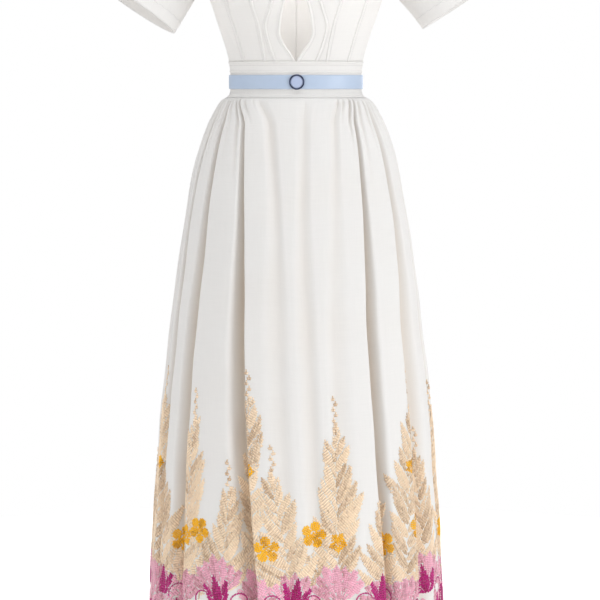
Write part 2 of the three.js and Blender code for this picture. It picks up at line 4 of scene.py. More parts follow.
import bpy
import numpy as np
from bpy.props import FloatProperty, FloatVectorProperty, IntProperty, PointerProperty
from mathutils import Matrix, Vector


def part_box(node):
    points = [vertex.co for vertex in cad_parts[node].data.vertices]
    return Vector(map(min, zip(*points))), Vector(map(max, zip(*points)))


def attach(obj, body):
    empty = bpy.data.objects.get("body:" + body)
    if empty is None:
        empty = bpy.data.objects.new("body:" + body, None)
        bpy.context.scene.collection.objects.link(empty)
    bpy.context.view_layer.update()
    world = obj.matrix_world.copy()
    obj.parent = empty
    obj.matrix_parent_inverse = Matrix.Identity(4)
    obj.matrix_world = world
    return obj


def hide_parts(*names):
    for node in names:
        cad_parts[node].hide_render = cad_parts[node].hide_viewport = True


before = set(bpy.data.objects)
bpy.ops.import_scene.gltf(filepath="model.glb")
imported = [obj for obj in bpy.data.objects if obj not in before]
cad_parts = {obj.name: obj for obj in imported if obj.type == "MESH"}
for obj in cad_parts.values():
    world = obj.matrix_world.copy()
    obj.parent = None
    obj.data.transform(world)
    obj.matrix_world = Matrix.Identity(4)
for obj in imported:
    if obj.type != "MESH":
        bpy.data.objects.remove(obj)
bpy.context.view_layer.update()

bl_info = {
    "name": "Beaded gown",
    "version": (1, 0, 0),
    "blender": (4, 5, 0),
    "location": "View3D > Sidebar > Gown",
    "description": "Makes a white gown: seamed bodice, belt, gathered skirt with a beaded hem",
    "category": "Add Mesh",
}

# Levels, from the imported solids

BELT_LEVEL = (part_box("belt")[0].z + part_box("belt")[1].z) / 2
BAND_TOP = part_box("waistband_front")[1].z - BELT_LEVEL
BAND_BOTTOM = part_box("waistband_front")[0].z - BELT_LEVEL
HEM_DROP = BELT_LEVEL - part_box("skirt_front")[0].z
BELT_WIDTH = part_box("belt")[1].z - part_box("belt")[0].z
BELT_FRONT = -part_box("belt")[0].y
BUCKLE_LOW, BUCKLE_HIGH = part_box("buckle_ring")

# Sizes of the bodice and the sleeves. Their rises are over the belt's middle.
ARMPIT = 0.178
CHEST = 0.290
NECK_SIDE = 0.078
NECK_RISE = 0.412
SHOULDER_SLOPE = 0.34
NECK_FRONT = 0.332
NECK_BACK = 0.397
ARM_LEAN = math.radians(33.5)
CUFF_HALF_WIDTH = 0.084
CUFF_HALF_DEPTH = 0.050
CUFF_FORWARD = 0.008
CUFF_HEM = 0.022

# Body ellipses: rise over the belt's middle, half width, depth to the front, depth to the back
TORSO = np.array([
    (-0.028, 0.125, 0.090, 0.088),
    (-0.015, 0.121, 0.086, 0.084),
    (0.015, 0.121, 0.086, 0.084),
    (0.037, 0.1235, 0.089, 0.086),
    (0.078, 0.134, 0.099, 0.090),
    (0.115, 0.147, 0.108, 0.094),
    (0.152, 0.159, 0.113, 0.098),
    (0.178, 0.168, 0.114, 0.101),
    (0.240, 0.178, 0.108, 0.104),
    (0.300, 0.186, 0.096, 0.101),
    (0.360, 0.191, 0.084, 0.093),
    (0.425, 0.195, 0.076, 0.084),
])

# Skirt ellipses: drop under the belt's middle, half width, depth to the front, depth to the back
SKIRT = np.array([
    (0.028, 0.127, 0.091, 0.090),
    (0.034, 0.138, 0.095, 0.099),
    (0.052, 0.151, 0.101, 0.110),
    (0.089, 0.169, 0.109, 0.124),
    (0.163, 0.190, 0.124, 0.146),
    (0.237, 0.204, 0.138, 0.163),
    (0.385, 0.226, 0.163, 0.190),
    (0.607, 0.252, 0.200, 0.224),
    (0.866, 0.270, 0.233, 0.256),
    (1.078, 0.280, 0.252, 0.274),
])

# Seam lines of the bodice front: rise, distance from the centre line
KEYHOLE_EDGE = np.array([
    (0.037, 0.0003), (0.052, 0.0095), (0.070, 0.022), (0.089, 0.0285), (0.115, 0.026),
    (0.152, 0.017), (0.180, 0.008), (0.200, 0.0003), (0.425, 0.0003),
])
INNER_SEAM = np.array([
    (0.037, 0.034), (0.065, 0.045), (0.100, 0.053), (0.130, 0.045),
    (0.160, 0.038), (0.210, 0.038), (0.300, 0.055), (0.412, 0.078),
])
MIDDLE_SEAM = np.array([
    (0.037, 0.053), (0.096, 0.064), (0.152, 0.080), (0.250, 0.098), (0.402, 0.109),
])
OUTER_SEAM = np.array([
    (0.037, 0.092), (0.096, 0.109), (0.152, 0.126), (0.250, 0.137), (0.390, 0.143),
])
CENTRE_BACK = np.array([(0.037, 0.0), (0.425, 0.0)])

# Armhole edge: rise, share of the chest's half width
ARMHOLE = np.array([
    (0.178, 1.0), (0.192, 0.955), (0.215, 0.905), (0.258, 0.86),
    (0.310, 0.865), (0.350, 0.915), (0.375, 0.975),
])

# The soft mound on each side of the front: its middle as distance from the centre line and rise,
# how far it reaches both ways, and its depth
MOUND = {"out": 0.070, "rise": 0.168, "wide": 0.046, "high": 0.058, "depth": 0.009}

# Cords of the waistband: rise of the middle, width, height
BAND_CORDS = [(0.0352, 0.0050, 0.0013), (0.0186, 0.0040, 0.0013), (-0.0280, 0.0080, 0.0019)]

# Folds of the skirt in order from the wearer's right over the front: the valley's angle from the
# front centre at five levels, its depth there in millimetres, and its width at the hem on each
# side, as a share of the way to the neighbouring valley
FOLD_LEVELS = (0.028, 0.080, 0.260, 0.487, 1.078)
FOLDS = [
    ((-86, -85, -84, -83, -84), (3, 6, 10, 14, 18), 0.7, 0.5),
    ((-74, -69, -71.5, -70, -69), (4, 10, 19, 27, 30), 0.7, 0.4),
    ((-60, -54, -53, -54.5, -53), (5, 11, 19, 27, 31), 0.7, 0.3),
    ((-50, -35, -28, -24.5, -12), (4, 8, 20, 31, 30), 0.5, 0.24),
    ((-31, -17, -10, -8, 0), (3, 6, 5, 5, 6), 0.9, 0.9),
    ((7, 5, 3, 5, 11), (1, 4, 6, 7, 8), 0.9, 0.9),
    ((35, 25, 20, 17, 20), (3, 5, 4, 5, 10), 0.8, 0.9),
    ((50, 41, 37.5, 35, 40), (4, 8, 17, 26, 28), 0.24, 0.45),
    ((66, 61, 63, 59, 58), (5, 10, 15, 19, 20), 0.4, 0.8),
    ((84, 83, 83, 82, 83), (4, 8, 12, 17, 22), 0.5, 0.7),
    ((101, 101, 102, 103, 102), (5, 11, 20, 29, 34), 0.35, 0.7),
    ((119, 120, 121, 122, 124), (5, 9, 16, 21, 26), 0.6, 0.8),
    ((137, 138, 139, 141, 143), (5, 13, 24, 33, 38), 0.3, 0.6),
    ((155, 156, 157, 158, 160), (4, 8, 13, 19, 24), 0.7, 0.8),
    ((171, 172, 173, 175, 178), (5, 11, 20, 29, 32), 0.4, 0.6),
    ((190, 190, 190, 191, 192), (4, 7, 12, 17, 22), 0.8, 0.7),
    ((208, 208, 207, 206, 207), (5, 11, 21, 29, 33), 0.6, 0.3),
    ((226, 225, 224, 223, 222), (4, 8, 14, 20, 24), 0.8, 0.7),
    ((243, 242, 242, 241, 240), (5, 10, 19, 27, 32), 0.7, 0.35),
    ((259, 260, 260, 259, 259), (4, 7, 12, 16, 20), 0.8, 0.7),
]
FOLD_COUNT = len(FOLDS)
# Folds are narrower in their upper part: this share of their width down to the first drop, and
# from there on more and more, up to the full width at the second drop
NARROW_FOLDS = (0.6, 0.150, 0.450)
# Where the gathers stand between two valleys: a gather at every second station
STATIONS = (0, 0.14, 0.30, 0.52, 0.74, 0.88, 1)
MM = 0.001

# The skirt's seams as places in the order of the folds
SEAM_RIGHT = STATIONS[3]
SEAM_LEFT = 9 + STATIONS[3]
SEAM_BACK = 14 + STATIONS[3]

SLEEVES = {
    "left": {"sign": 1, "out": 0.303, "rise": 0.143, "forward": math.radians(3)},
    "right": {"sign": -1, "out": 0.293, "rise": 0.136, "forward": math.radians(10)},
}

# The camera, from the photograph: its size, the belt's place in it, and the scale at the gown
PHOTO_WIDTH = 600
METRES_PER_PIXEL = 0.00185
PHOTO_CENTRE = (300, 300)
BELT_PIXEL = (296, 82)
CAMERA_DISTANCE = 4.5


# Sizes and colours that a user may change


class GownSizes(bpy.types.PropertyGroup):
    cloth: FloatProperty(
        name="Cloth", description="Thickness of the cloth", default=0.0012, unit="LENGTH",
        min=0.0004, max=0.003)
    welt_width: FloatProperty(
        name="Welt width", description="Width of the raised seams of the bodice",
        default=0.0044, unit="LENGTH")
    welt_height: FloatProperty(
        name="Welt height", description="Height of the raised seams of the bodice",
        default=0.0018, unit="LENGTH")
    gather_depth: FloatProperty(
        name="Gather depth", description="Depth of the short gathers under the waistband",
        default=0.0064, unit="LENGTH")
    gather_length: FloatProperty(
        name="Gather length", description="Length of the short gathers under the waistband",
        default=0.135, unit="LENGTH")
    bead_size: FloatProperty(
        name="Bead size", description="Size of the beads of the hem border, beside their usual one",
        default=1.0)
    stitch: FloatProperty(
        name="Stitch", description="Length of a topstitch", default=0.0026, unit="LENGTH")
    seed: IntProperty(name="Seed", description="Seed of the uneven details", default=11)


def colour_property(name, description, default):
    """A colour that a user may change, as linear red, green and blue."""
    return FloatVectorProperty(
        name=name, description=description, subtype="COLOR", size=3, min=0, max=1, default=default)


class GownColours(bpy.types.PropertyGroup):
    cloth: colour_property("Cloth", "White cloth", (0.910, 0.888, 0.864))
    belt: colour_property("Belt", "Pale blue belt", (0.43, 0.505, 0.625))
    metal: colour_property("Buckle ring", "Dark slate metal", (0.085, 0.10, 0.165))
    enamel: colour_property("Buckle disc", "Plain lilac-blue enamel", (0.43, 0.49, 0.66))
    thread: colour_property("Thread", "Topstitching thread", (0.80, 0.79, 0.775))
    sand: colour_property("Sand beads", "Sand-coloured beads", (0.88, 0.69, 0.50))
    amber: colour_property("Amber beads", "Amber beads", (0.95, 0.49, 0.010))
    pink: colour_property("Pink beads", "Pink beads", (0.83, 0.43, 0.53))
    magenta: colour_property("Magenta beads", "Magenta beads", (0.50, 0.018, 0.20))


# Curves


def curve_of(levels, values):
    """A smooth curve through rows: cubic pieces whose slope at a row is the harmonic mean of the
    slopes beside it, or zero where they change sign."""
    x = np.asarray(levels, float)
    y = np.asarray(values, float)
    slope = np.diff(y) / np.diff(x)
    before, after = slope[:-1], slope[1:]
    same_way = before * after > 0
    total = np.where(same_way, before + after, 1)
    inner = np.where(same_way, 2 * before * after / total, 0)
    tangent = np.concatenate([slope[:1], inner, slope[-1:]])

    def curve(at):
        at = np.asarray(at, float)
        i = np.clip(np.searchsorted(x, at, side="right") - 1, 0, len(slope) - 1)
        width = x[i + 1] - x[i]
        s = np.clip((at - x[i]) / width, 0, 1)
        bend = s * s * (3 - 2 * s)
        leave = tangent[i] * s * (1 - s) ** 2 * width
        arrive = tangent[i + 1] * s * s * (1 - s) * width
        return y[i] * (1 - bend) + y[i + 1] * bend + leave - arrive

    return curve


def columns_of(table):
    """The smooth curves of a table's further columns over its first one."""
    return [curve_of(table[:, 0], table[:, k]) for k in range(1, table.shape[1])]


torso_half, torso_front, torso_back = columns_of(TORSO)
skirt_half, skirt_front_depth, skirt_back_depth = columns_of(SKIRT)
armhole_share, = columns_of(ARMHOLE)


def bump(distance):
    """A soft hill: 1 in the middle, 0 from a distance of 1 on, a raised cosine between."""
    return np.where(np.abs(distance) < 1, (1 + np.cos(np.pi * np.clip(distance, -1, 1))) / 2, 0)


def cord(distance):
    """The top of a round cord: a half circle over distances from -1 to 1."""
    return np.sqrt(np.clip(1 - distance * distance, 0, 1))


# Meshes from grids


def unit(vectors):
    """Vectors divided by their lengths."""
    return vectors / np.maximum(np.linalg.norm(vectors, axis=-1, keepdims=True), 1e-12)


def normals_of(grid, round_about=False):
    """Each point's normal: the cross product of the central differences along the two ways."""
    if round_about:
        across = np.roll(grid, -1, axis=0) - np.roll(grid, 1, axis=0)
    else:
        across = np.gradient(grid, axis=0)
    along = np.gradient(grid, axis=1)
    return unit(np.cross(across, along))


def arc_lengths(grid, axis):
    """Distance along the grid lines from their first point."""
    steps = np.linalg.norm(np.diff(grid, axis=axis), axis=-1)
    start = np.zeros_like(np.take(steps, [0], axis=axis))
    return np.concatenate([start, np.cumsum(steps, axis=axis)], axis=axis)


def new_mesh(name, points, faces, uvs=None, tones=None, smooth_count=None):
    """A mesh object from an array of points and one of faces with equal corner counts. The first
    smooth_count faces, or all of them, are shaded smooth."""
    corners = faces.shape[1]
    mesh = bpy.data.meshes.new(name)
    mesh.vertices.add(len(points))
    mesh.vertices.foreach_set("co", np.ascontiguousarray(points, np.float32).ravel())
    mesh.loops.add(faces.size)
    mesh.loops.foreach_set("vertex_index", np.ascontiguousarray(faces, np.int32).ravel())
    mesh.polygons.add(len(faces))
    mesh.polygons.foreach_set("loop_start", np.arange(len(faces), dtype=np.int32) * corners)
    mesh.update(calc_edges=True)
    smooth = np.arange(len(faces)) < (len(faces) if smooth_count is None else smooth_count)
    mesh.polygons.foreach_set("use_smooth", smooth)
    if uvs is not None:
        layer = mesh.uv_layers.new(name="cloth")
        layer.data.foreach_set("uv", np.ascontiguousarray(uvs, np.float32).ravel())
    if tones is not None:
        tone = mesh.attributes.new("tone", "FLOAT", "POINT")
        tone.data.foreach_set("value", np.ascontiguousarray(tones, np.float32))
    mesh.validate()
    made = bpy.data.objects.new(name, mesh)
    bpy.context.scene.collection.objects.link(made)
    return made


def signed_volume(points, faces):
    """Six times the volume that the faces enclose, each as a fan of triangles."""
    volume = 0.0
    first = points[faces[:, 0]]
    for k in range(1, faces.shape[1] - 1):
        cross = np.cross(points[faces[:, k]], points[faces[:, k + 1]])
        volume += float(np.einsum("ij,ij->", first, cross))
    return volume


def shell(name, outer, inner, round_about=False, tones=None):
    """A closed wall between two grids of equal shape. Its texture map holds the arc lengths along
    the outer grid, so that a weave keeps its size everywhere. Tones are one for each grid point.
    The narrow faces of its edges are shaded flat."""
    columns, rows = outer.shape[:2]
    i, j = np.meshgrid(
        np.arange(columns if round_about else columns - 1), np.arange(rows - 1), indexing="ij")
    i, j = i.ravel(), j.ravel()
    width = columns + 1 if round_about else columns

    def outside(a, b):
        return a * rows + b

    def inside(a, b):
        return width * rows + a * rows + b

    wall = [
        np.stack([outside(i, j), outside(i + 1, j), outside(i + 1, j + 1), outside(i, j + 1)], 1),
        np.stack([inside(i, j), inside(i, j + 1), inside(i + 1, j + 1), inside(i + 1, j)], 1),
    ]
    broad_faces = 2 * len(i)
    e = np.arange(width - 1)
    top = rows - 1
    wall.append(np.stack([outside(e, 0), inside(e, 0), inside(e + 1, 0), outside(e + 1, 0)], 1))
    wall.append(
        np.stack([outside(e, top), outside(e + 1, top), inside(e + 1, top), inside(e, top)], 1))
    if not round_about:
        f = np.arange(rows - 1)
        end = columns - 1
        wall.append(np.stack([outside(0, f), outside(0, f + 1), inside(0, f + 1), inside(0, f)], 1))
        wall.append(
            np.stack([outside(end, f), inside(end, f), inside(end, f + 1), outside(end, f + 1)], 1))
    faces = np.concatenate(wall)

    full = np.concatenate([outer, outer[:1]]) if round_about else outer
    across = arc_lengths(full, 0)
    across = across - across[width // 2]
    uv = np.stack([across, arc_lengths(full, 1)], axis=-1).reshape(-1, 2)
    uv = np.concatenate([uv, uv])[faces.ravel()]
    if round_about:
        layer = faces // (width * rows)
        place = faces % (width * rows)
        faces = layer * columns * rows + (place // rows % columns) * rows + place % rows
    points = np.concatenate([outer.reshape(-1, 3), inner.reshape(-1, 3)])
    if signed_volume(points, faces) < 0:
        faces = faces[:, ::-1]
        uv = uv.reshape(len(faces), 4, 2)[:, ::-1].reshape(-1, 2)
    if tones is None:
        tones = np.zeros(outer.shape[:2])
    return new_mesh(
        name, points, faces, uvs=uv, tones=np.tile(tones.ravel(), 2), smooth_count=broad_faces)


LENS_SIDES = 6
# A lens's levels as shares of its height: its rim, its top and its bottom
LENS_RIM, LENS_TOP, LENS_BOTTOM = 0.3, 1, -0.35


def lens_beads(name, centres, long_axis, up_axis, size, tones, sides=LENS_SIDES):
    """Many small closed lenses as one mesh: a ring of a few points, a top and a bottom, stretched
    along the long axis. size holds each bead's length, width and height."""
    turn = (np.arange(sides) + 0.5) * 2 * math.pi / sides
    reach = 0.5 / math.cos(math.pi / sides)
    ring = np.stack([np.cos(turn) * reach, np.sin(turn) * reach, np.full(sides, LENS_RIM)], 1)
    shape = np.concatenate([ring, [[0, 0, LENS_TOP], [0, 0, LENS_BOTTOM]]])
    side_axis = np.cross(up_axis, long_axis)
    scaled = shape[None] * size[:, None, :]
    points = (
        centres[:, None]
        + scaled[..., 0:1] * long_axis[:, None]
        + scaled[..., 1:2] * side_axis[:, None]
        + scaled[..., 2:3] * up_axis[:, None]
    )
    e = np.arange(sides)
    upper = np.stack([e, (e + 1) % sides, np.full(sides, sides)], 1)
    lower = np.stack([(e + 1) % sides, e, np.full(sides, sides + 1)], 1)
    one = np.concatenate([upper, lower])
    count = sides + 2
    faces = (one[None] + count * np.arange(len(centres))[:, None, None]).reshape(-1, 3)
    return new_mesh(name, points.reshape(-1, 3), faces, tones=np.repeat(tones, count))


# Materials


def new_material(name):
    """A new finish with its nodes, links and surface shader."""
    material = bpy.data.materials.new(name)
    material.use_nodes = True
    nodes = material.node_tree.nodes
    return material, nodes, material.node_tree.links, nodes["Principled BSDF"]


def math_node(nodes, links, operation, *inputs):
    """A Math node fed by sockets or plain numbers; gives its output socket."""
    node = nodes.new("ShaderNodeMath")
    node.operation = operation
    for socket, given in zip(node.inputs, inputs):
        if isinstance(given, (int, float)):
            socket.default_value = given
        else:
            links.new(given, socket)
    return node.outputs[0]


def streaks(nodes, links, vector, scale, detail=3.0):
    """Noise stretched by its own scale along each way of the vector."""
    mapping = nodes.new("ShaderNodeMapping")
    mapping.inputs["Scale"].default_value = scale
    noise = nodes.new("ShaderNodeTexNoise")
    noise.inputs["Scale"].default_value = 1.0
    noise.inputs["Detail"].default_value = detail
    links.new(vector, mapping.inputs["Vector"])
    links.new(mapping.outputs["Vector"], noise.inputs["Vector"])
    return noise.outputs["Fac"]


# A colour mix's sockets: its two colours and its result
FIRST_COLOUR, SECOND_COLOUR, MIXED_COLOUR = 6, 7, 2


def colour_mix(nodes, blend="MIX"):
    """A new colour mix with its kind of blend."""
    node = nodes.new("ShaderNodeMix")
    node.data_type = "RGBA"
    node.blend_type = blend
    return node


def mix_colours(nodes, links, factor, first, second):
    """The blend of two plain colours by a socket; gives its output socket."""
    node = colour_mix(nodes)
    links.new(factor, node.inputs["Factor"])
    node.inputs[FIRST_COLOUR].default_value = (*first, 1)
    node.inputs[SECOND_COLOUR].default_value = (*second, 1)
    return node.outputs[MIXED_COLOUR]


def shades_of(colour, darker, lighter):
    """Two shades of a colour, each a share of it up to full white."""
    return [tuple(min(1.0, share * c) for c in colour) for share in (darker, lighter)]


def set_values(node, values):
    """Sets a node's inputs by their names."""
    for key, value in values.items():
        node.inputs[key].default_value = value


def add_relief(nodes, links, shader, height, strength, distance):
    """Lets a height tilt the surface's normal."""
    relief = nodes.new("ShaderNodeBump")
    set_values(relief, {"Strength": strength, "Distance": distance})
    links.new(height, relief.inputs["Height"])
    links.new(relief.outputs["Normal"], shader.inputs["Normal"])


WEAVE_PITCH = 0.0009
# Scales of the thick and thin yarns along and across them, and of the cloudiness
YARN_SCALES = (22, 420)
CLOUD_SCALES = (9, 6, 1)
# How much the yarns and the clouds tell in the shade, over its least value
YARN_SHADE, CLOUD_SHADE, LEAST_SHADE = 0.42, 0.2, 0.1
CLOTH_SHADES = (0.93, 1.035)
# How much the yarns tell in the relief, beside the threads, and the relief's strength and distance
YARN_RELIEF = 2.2
CLOTH_RELIEF = (0.35, 0.00012)
TRANSLUCENCY = 0.36
# Painted shade: cloth deep in a fold is painted this much darker and warmer
PAINTED_VALLEY_SHADE = (0.945, 0.88, 0.80)


def cloth_material(colour):
    """Fine plain weave with uneven yarns: two crossed sine waves for the threads, and stretched
    noise both ways for the thick and thin yarns. The tone attribute, which tells how deep the cloth
    lies in a fold, paints shade into it, darker and warmer deep in the folds, and a part of the
    light comes through it."""
    material, nodes, links, shader = new_material("white_cloth")
    uv = nodes.new("ShaderNodeUVMap")
    uv.uv_map = "cloth"
    split = nodes.new("ShaderNodeSeparateXYZ")
    links.new(uv.outputs["UV"], split.inputs["Vector"])
    turns = 2 * math.pi / WEAVE_PITCH
    waves = []
    for way in ("X", "Y"):
        phase = math_node(nodes, links, "MULTIPLY", split.outputs[way], turns)
        waves.append(math_node(nodes, links, "SINE", phase))
    threads = math_node(nodes, links, "MULTIPLY", *waves)
    warp = streaks(nodes, links, uv.outputs["UV"], (*reversed(YARN_SCALES), 1))
    weft = streaks(nodes, links, uv.outputs["UV"], (*YARN_SCALES, 1))
    yarns = math_node(nodes, links, "ADD", warp, weft)
    cloudy = streaks(nodes, links, uv.outputs["UV"], CLOUD_SCALES, 2.0)
    shade = math_node(nodes, links, "MULTIPLY_ADD", yarns, YARN_SHADE, LEAST_SHADE)
    shade = math_node(nodes, links, "MULTIPLY_ADD", cloudy, CLOUD_SHADE, shade)
    depth = nodes.new("ShaderNodeAttribute")
    depth.attribute_name = "tone"
    plain = mix_colours(nodes, links, shade, *shades_of(colour, *CLOTH_SHADES))
    # Painted shade: the deeper the cloth lies in a fold, the darker and warmer its colour is
    # painted
    painted_fold_shade = mix_colours(nodes, links, depth.outputs["Fac"], (1, 1, 1), PAINTED_VALLEY_SHADE)
    shade_painted_cloth = colour_mix(nodes, "MULTIPLY")
    shade_painted_cloth.inputs["Factor"].default_value = 1.0
    links.new(plain, shade_painted_cloth.inputs[FIRST_COLOUR])
    links.new(painted_fold_shade, shade_painted_cloth.inputs[SECOND_COLOUR])
    links.new(shade_painted_cloth.outputs[MIXED_COLOUR], shader.inputs["Base Color"])
    height = math_node(nodes, links, "MULTIPLY_ADD", yarns, YARN_RELIEF, threads)
    add_relief(nodes, links, shader, height, *CLOTH_RELIEF)
    set_values(shader, {
        "Roughness": 0.68, "Specular IOR Level": 0.3, "Sheen Weight": 0.2, "Sheen Roughness": 0.35})
    through = nodes.new("ShaderNodeBsdfTranslucent")
    links.new(shade_painted_cloth.outputs[MIXED_COLOUR], through.inputs["Color"])
    both = nodes.new("ShaderNodeMixShader")
    both.inputs["Fac"].default_value = TRANSLUCENCY
    links.new(shader.outputs["BSDF"], both.inputs[1])
    links.new(through.outputs["BSDF"], both.inputs[2])
    links.new(both.outputs["Shader"], nodes["Material Output"].inputs["Surface"])
    return material


# Cloudy finishes. Each has noise scales along x, y and z with a detail, the two shares of the
# colour that the noise lies between, and the shader's values. It may have a relief, with its own
# noise, strength and distance, and a roughness that the first noise raises over its least value.
FINISHES = {
    "blue_strap": {
        "colour": "belt", "noise": ((35, 35, 60), 2.0), "shades": (0.93, 1.05),
        "relief": ((1400, 1400, 1400), 4.0, 0.25, 0.0001),
        "values": {"Roughness": 0.42, "Specular IOR Level": 0.4},
    },
    "slate_metal": {
        "colour": "metal", "noise": ((300, 300, 2600), 3.0), "shades": (0.8, 1),
        "rough": (0.2, 0.18), "values": {"Metallic": 1.0},
    },
    "lilac_enamel": {
        "colour": "enamel", "noise": ((120, 120, 120), 2.0), "shades": (0.9, 1),
        "relief": ((120, 120, 120), 2.0, 0.15, 0.0002),
        "values": {"Roughness": 0.2, "Coat Weight": 0.4},
    },
    "white_thread": {
        "colour": "thread", "noise": ((2600, 2600, 900), 1.0), "shades": (0.85, 1),
        "values": {"Roughness": 0.8},
    },
}


def cloudy_material(name, colour):
    """A finish from the table: noise blends two shades of the colour."""
    finish = FINISHES[name]
    material, nodes, links, shader = new_material(name)
    place = nodes.new("ShaderNodeTexCoord").outputs["Object"]
    noise = streaks(nodes, links, place, *finish["noise"])
    blend = mix_colours(nodes, links, noise, *shades_of(colour, *finish["shades"]))
    links.new(blend, shader.inputs["Base Color"])
    if "rough" in finish:
        rough = math_node(nodes, links, "MULTIPLY_ADD", noise, *finish["rough"])
        links.new(rough, shader.inputs["Roughness"])
    if "relief" in finish:
        scales, detail, strength, distance = finish["relief"]
        grain = streaks(nodes, links, place, scales, detail)
        add_relief(nodes, links, shader, grain, strength, distance)
    set_values(shader, finish["values"])
    return material


# A dark bead's share of each channel, a light bead's lift and share, and the plain colour's tone
BEAD_DARK = (0.62, 0.54, 0.47)
BEAD_LIGHT = (0.03, 1.12)
BEAD_PLAIN_TONE = 0.45


def bead_material(name, colour):
    """Lustrous glass beads whose shade varies from bead to bead with the tone attribute."""
    material, nodes, links, shader = new_material(name)
    tone = nodes.new("ShaderNodeAttribute")
    tone.attribute_name = "tone"
    darker = tuple(shade * c for shade, c in zip(BEAD_DARK, colour))
    lighter = tuple(min(1.0, BEAD_LIGHT[0] + BEAD_LIGHT[1] * c) for c in colour)
    ramp = nodes.new("ShaderNodeValToRGB")
    ramp.color_ramp.elements[0].color = (*darker, 1)
    ramp.color_ramp.elements[1].color = (*lighter, 1)
    ramp.color_ramp.elements.new(BEAD_PLAIN_TONE).color = (*colour, 1)
    links.new(tone.outputs["Fac"], ramp.inputs["Fac"])
    links.new(ramp.outputs["Color"], shader.inputs["Base Color"])
    set_values(shader, {"Roughness": 0.35, "Specular IOR Level": 0.45})
    return material


def material_named(name):
    """The finish of this name, made the first time from the user's colours."""
    found = bpy.data.materials.get(name)
    if found:
        return found
    colours = bpy.context.scene.gown_colours
    if name == "white_cloth":
        return cloth_material(tuple(colours.cloth))
    return cloudy_material(name, tuple(getattr(colours, FINISHES[name]["colour"])))


def finish_piece(piece, material, nodes=()):
    """Gives a piece its finish, its body and the solids that it stands for."""
    piece.data.materials.append(material)
    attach(piece, "root")
    if nodes:
        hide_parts(*nodes)
    return piece


def cloth_wall(name, outer, inner, **kinds):
    """A wall of the white cloth that stands for the solid of this name."""
    piece = shell(f"{name}_cloth", outer, inner, **kinds)
    return finish_piece(piece, material_named("white_cloth"), [name])


# Bodice


def shoulder_rise(x):
    """The shoulder seam: level at the neck, then a straight fall with the distance beyond it."""
    return NECK_RISE - SHOULDER_SLOPE * np.maximum(0, np.abs(x) - NECK_SIDE)


NECK_POWER = 2.6


def top_of(x, neck):
    """The top edge: the neckline rises with a power of the distance, the shoulder falls evenly."""
    share = np.minimum(np.abs(x), NECK_SIDE) / NECK_SIDE
    neckline = neck + (NECK_RISE - neck) * share ** NECK_POWER
    return np.where(np.abs(x) < NECK_SIDE, neckline, shoulder_rise(x))


def torso_points(sign, turn, rise):
    """The bodice form: ellipses whose depth closes like a quarter circle towards the shoulder
    seam, with a soft mound, a bell curve both ways, on each side of the front. turn is the angle
    from the front centre."""
    x = torso_half(rise) * np.sin(turn)
    climb = np.clip((rise - CHEST) / (shoulder_rise(x) - CHEST), 0, 1)
    depth = np.where(np.cos(turn) > 0, torso_front(rise), torso_back(rise))
    y = -depth * np.cos(turn) * np.sqrt(1 - climb * climb)
    beside = (np.abs(x) - MOUND["out"]) / MOUND["wide"]
    above = (rise - MOUND["rise"]) / MOUND["high"]
    mound = MOUND["depth"] * np.exp(-(beside ** 2) - above ** 2)
    y = np.where(y < 0, y - mound * np.cos(turn), y)
    return np.stack([sign * x, y, BELT_LEVEL + rise], axis=-1)


def seam_turn(seam):
    """A seam's distance from the centre line as an angle from the front centre."""
    out = curve_of(seam[:, 0], seam[:, 1])
    return lambda rise: np.arcsin(np.minimum(1, out(rise) / torso_half(rise)))


def armhole_turn(rise):
    """The side seam up to the armpit, and above it the armhole's share of the half width, as an
    angle from the front centre."""
    return np.where(rise <= ARMPIT, np.pi / 2, np.arcsin(np.minimum(1, armhole_share(rise))))


HALVINGS = 40


def top_rises(turn_at, shares, neck):
    """The rise of the top edge for each share of a panel's width, by repeated halving."""
    top = np.full(len(shares), NECK_RISE)
    for _ in range(HALVINGS):
        x = torso_half(top) * np.sin(turn_at(top, shares))
        top = (top + top_of(x, neck)) / 2
    return top


# The unevenness is a sum of waves of these lengths, as shares of its reach
UNEVEN_WAVES = (0.7, 1.0, 1.3)


def uneven(points, seed, size, reach):
    """Slow unevenness of worn cloth: the mean of slanted sine waves, as a height in metres."""
    draw = np.random.default_rng(seed)
    height = np.zeros(points.shape[:-1])
    for share in UNEVEN_WAVES:
        way = unit(draw.normal(size=3))
        height += np.sin(points @ way * 2 * np.pi / (reach * share) + draw.uniform(0, 6))
    return size * height / len(UNEVEN_WAVES)


# Soft creases of the bodice: side, front or back, start and end as distance from the centre and
# rise, depth and half width in millimetres
CREASES = [
    (1, -1, (0.100, 0.060), (0.128, 0.115), 1.2, 7),
    (-1, -1, (0.104, 0.052), (0.131, 0.100), 1.5, 8),
    (-1, -1, (0.118, 0.130), (0.150, 0.168), 1.6, 9),
    (1, -1, (0.112, 0.148), (0.146, 0.172), 1.3, 8),
    (1, -1, (0.120, 0.200), (0.148, 0.232), 1.4, 9),
    (-1, -1, (0.124, 0.214), (0.146, 0.240), 1.2, 8),
    (1, 1, (0.060, 0.048), (0.112, 0.070), 1.4, 7),
    (-1, 1, (0.052, 0.056), (0.108, 0.064), 1.6, 8),
    (1, 1, (0.070, 0.190), (0.140, 0.228), 1.5, 11),
    (-1, 1, (0.080, 0.206), (0.144, 0.220), 1.3, 10),
    (-1, 1, (0.020, 0.300), (0.090, 0.320), 1.0, 12),
    (1, 1, (0.018, 0.318), (0.082, 0.306), 1.2, 12),
]
# A crease fades at its ends like a sine that starts this share of a half turn inside its zero
CREASE_END = 0.12


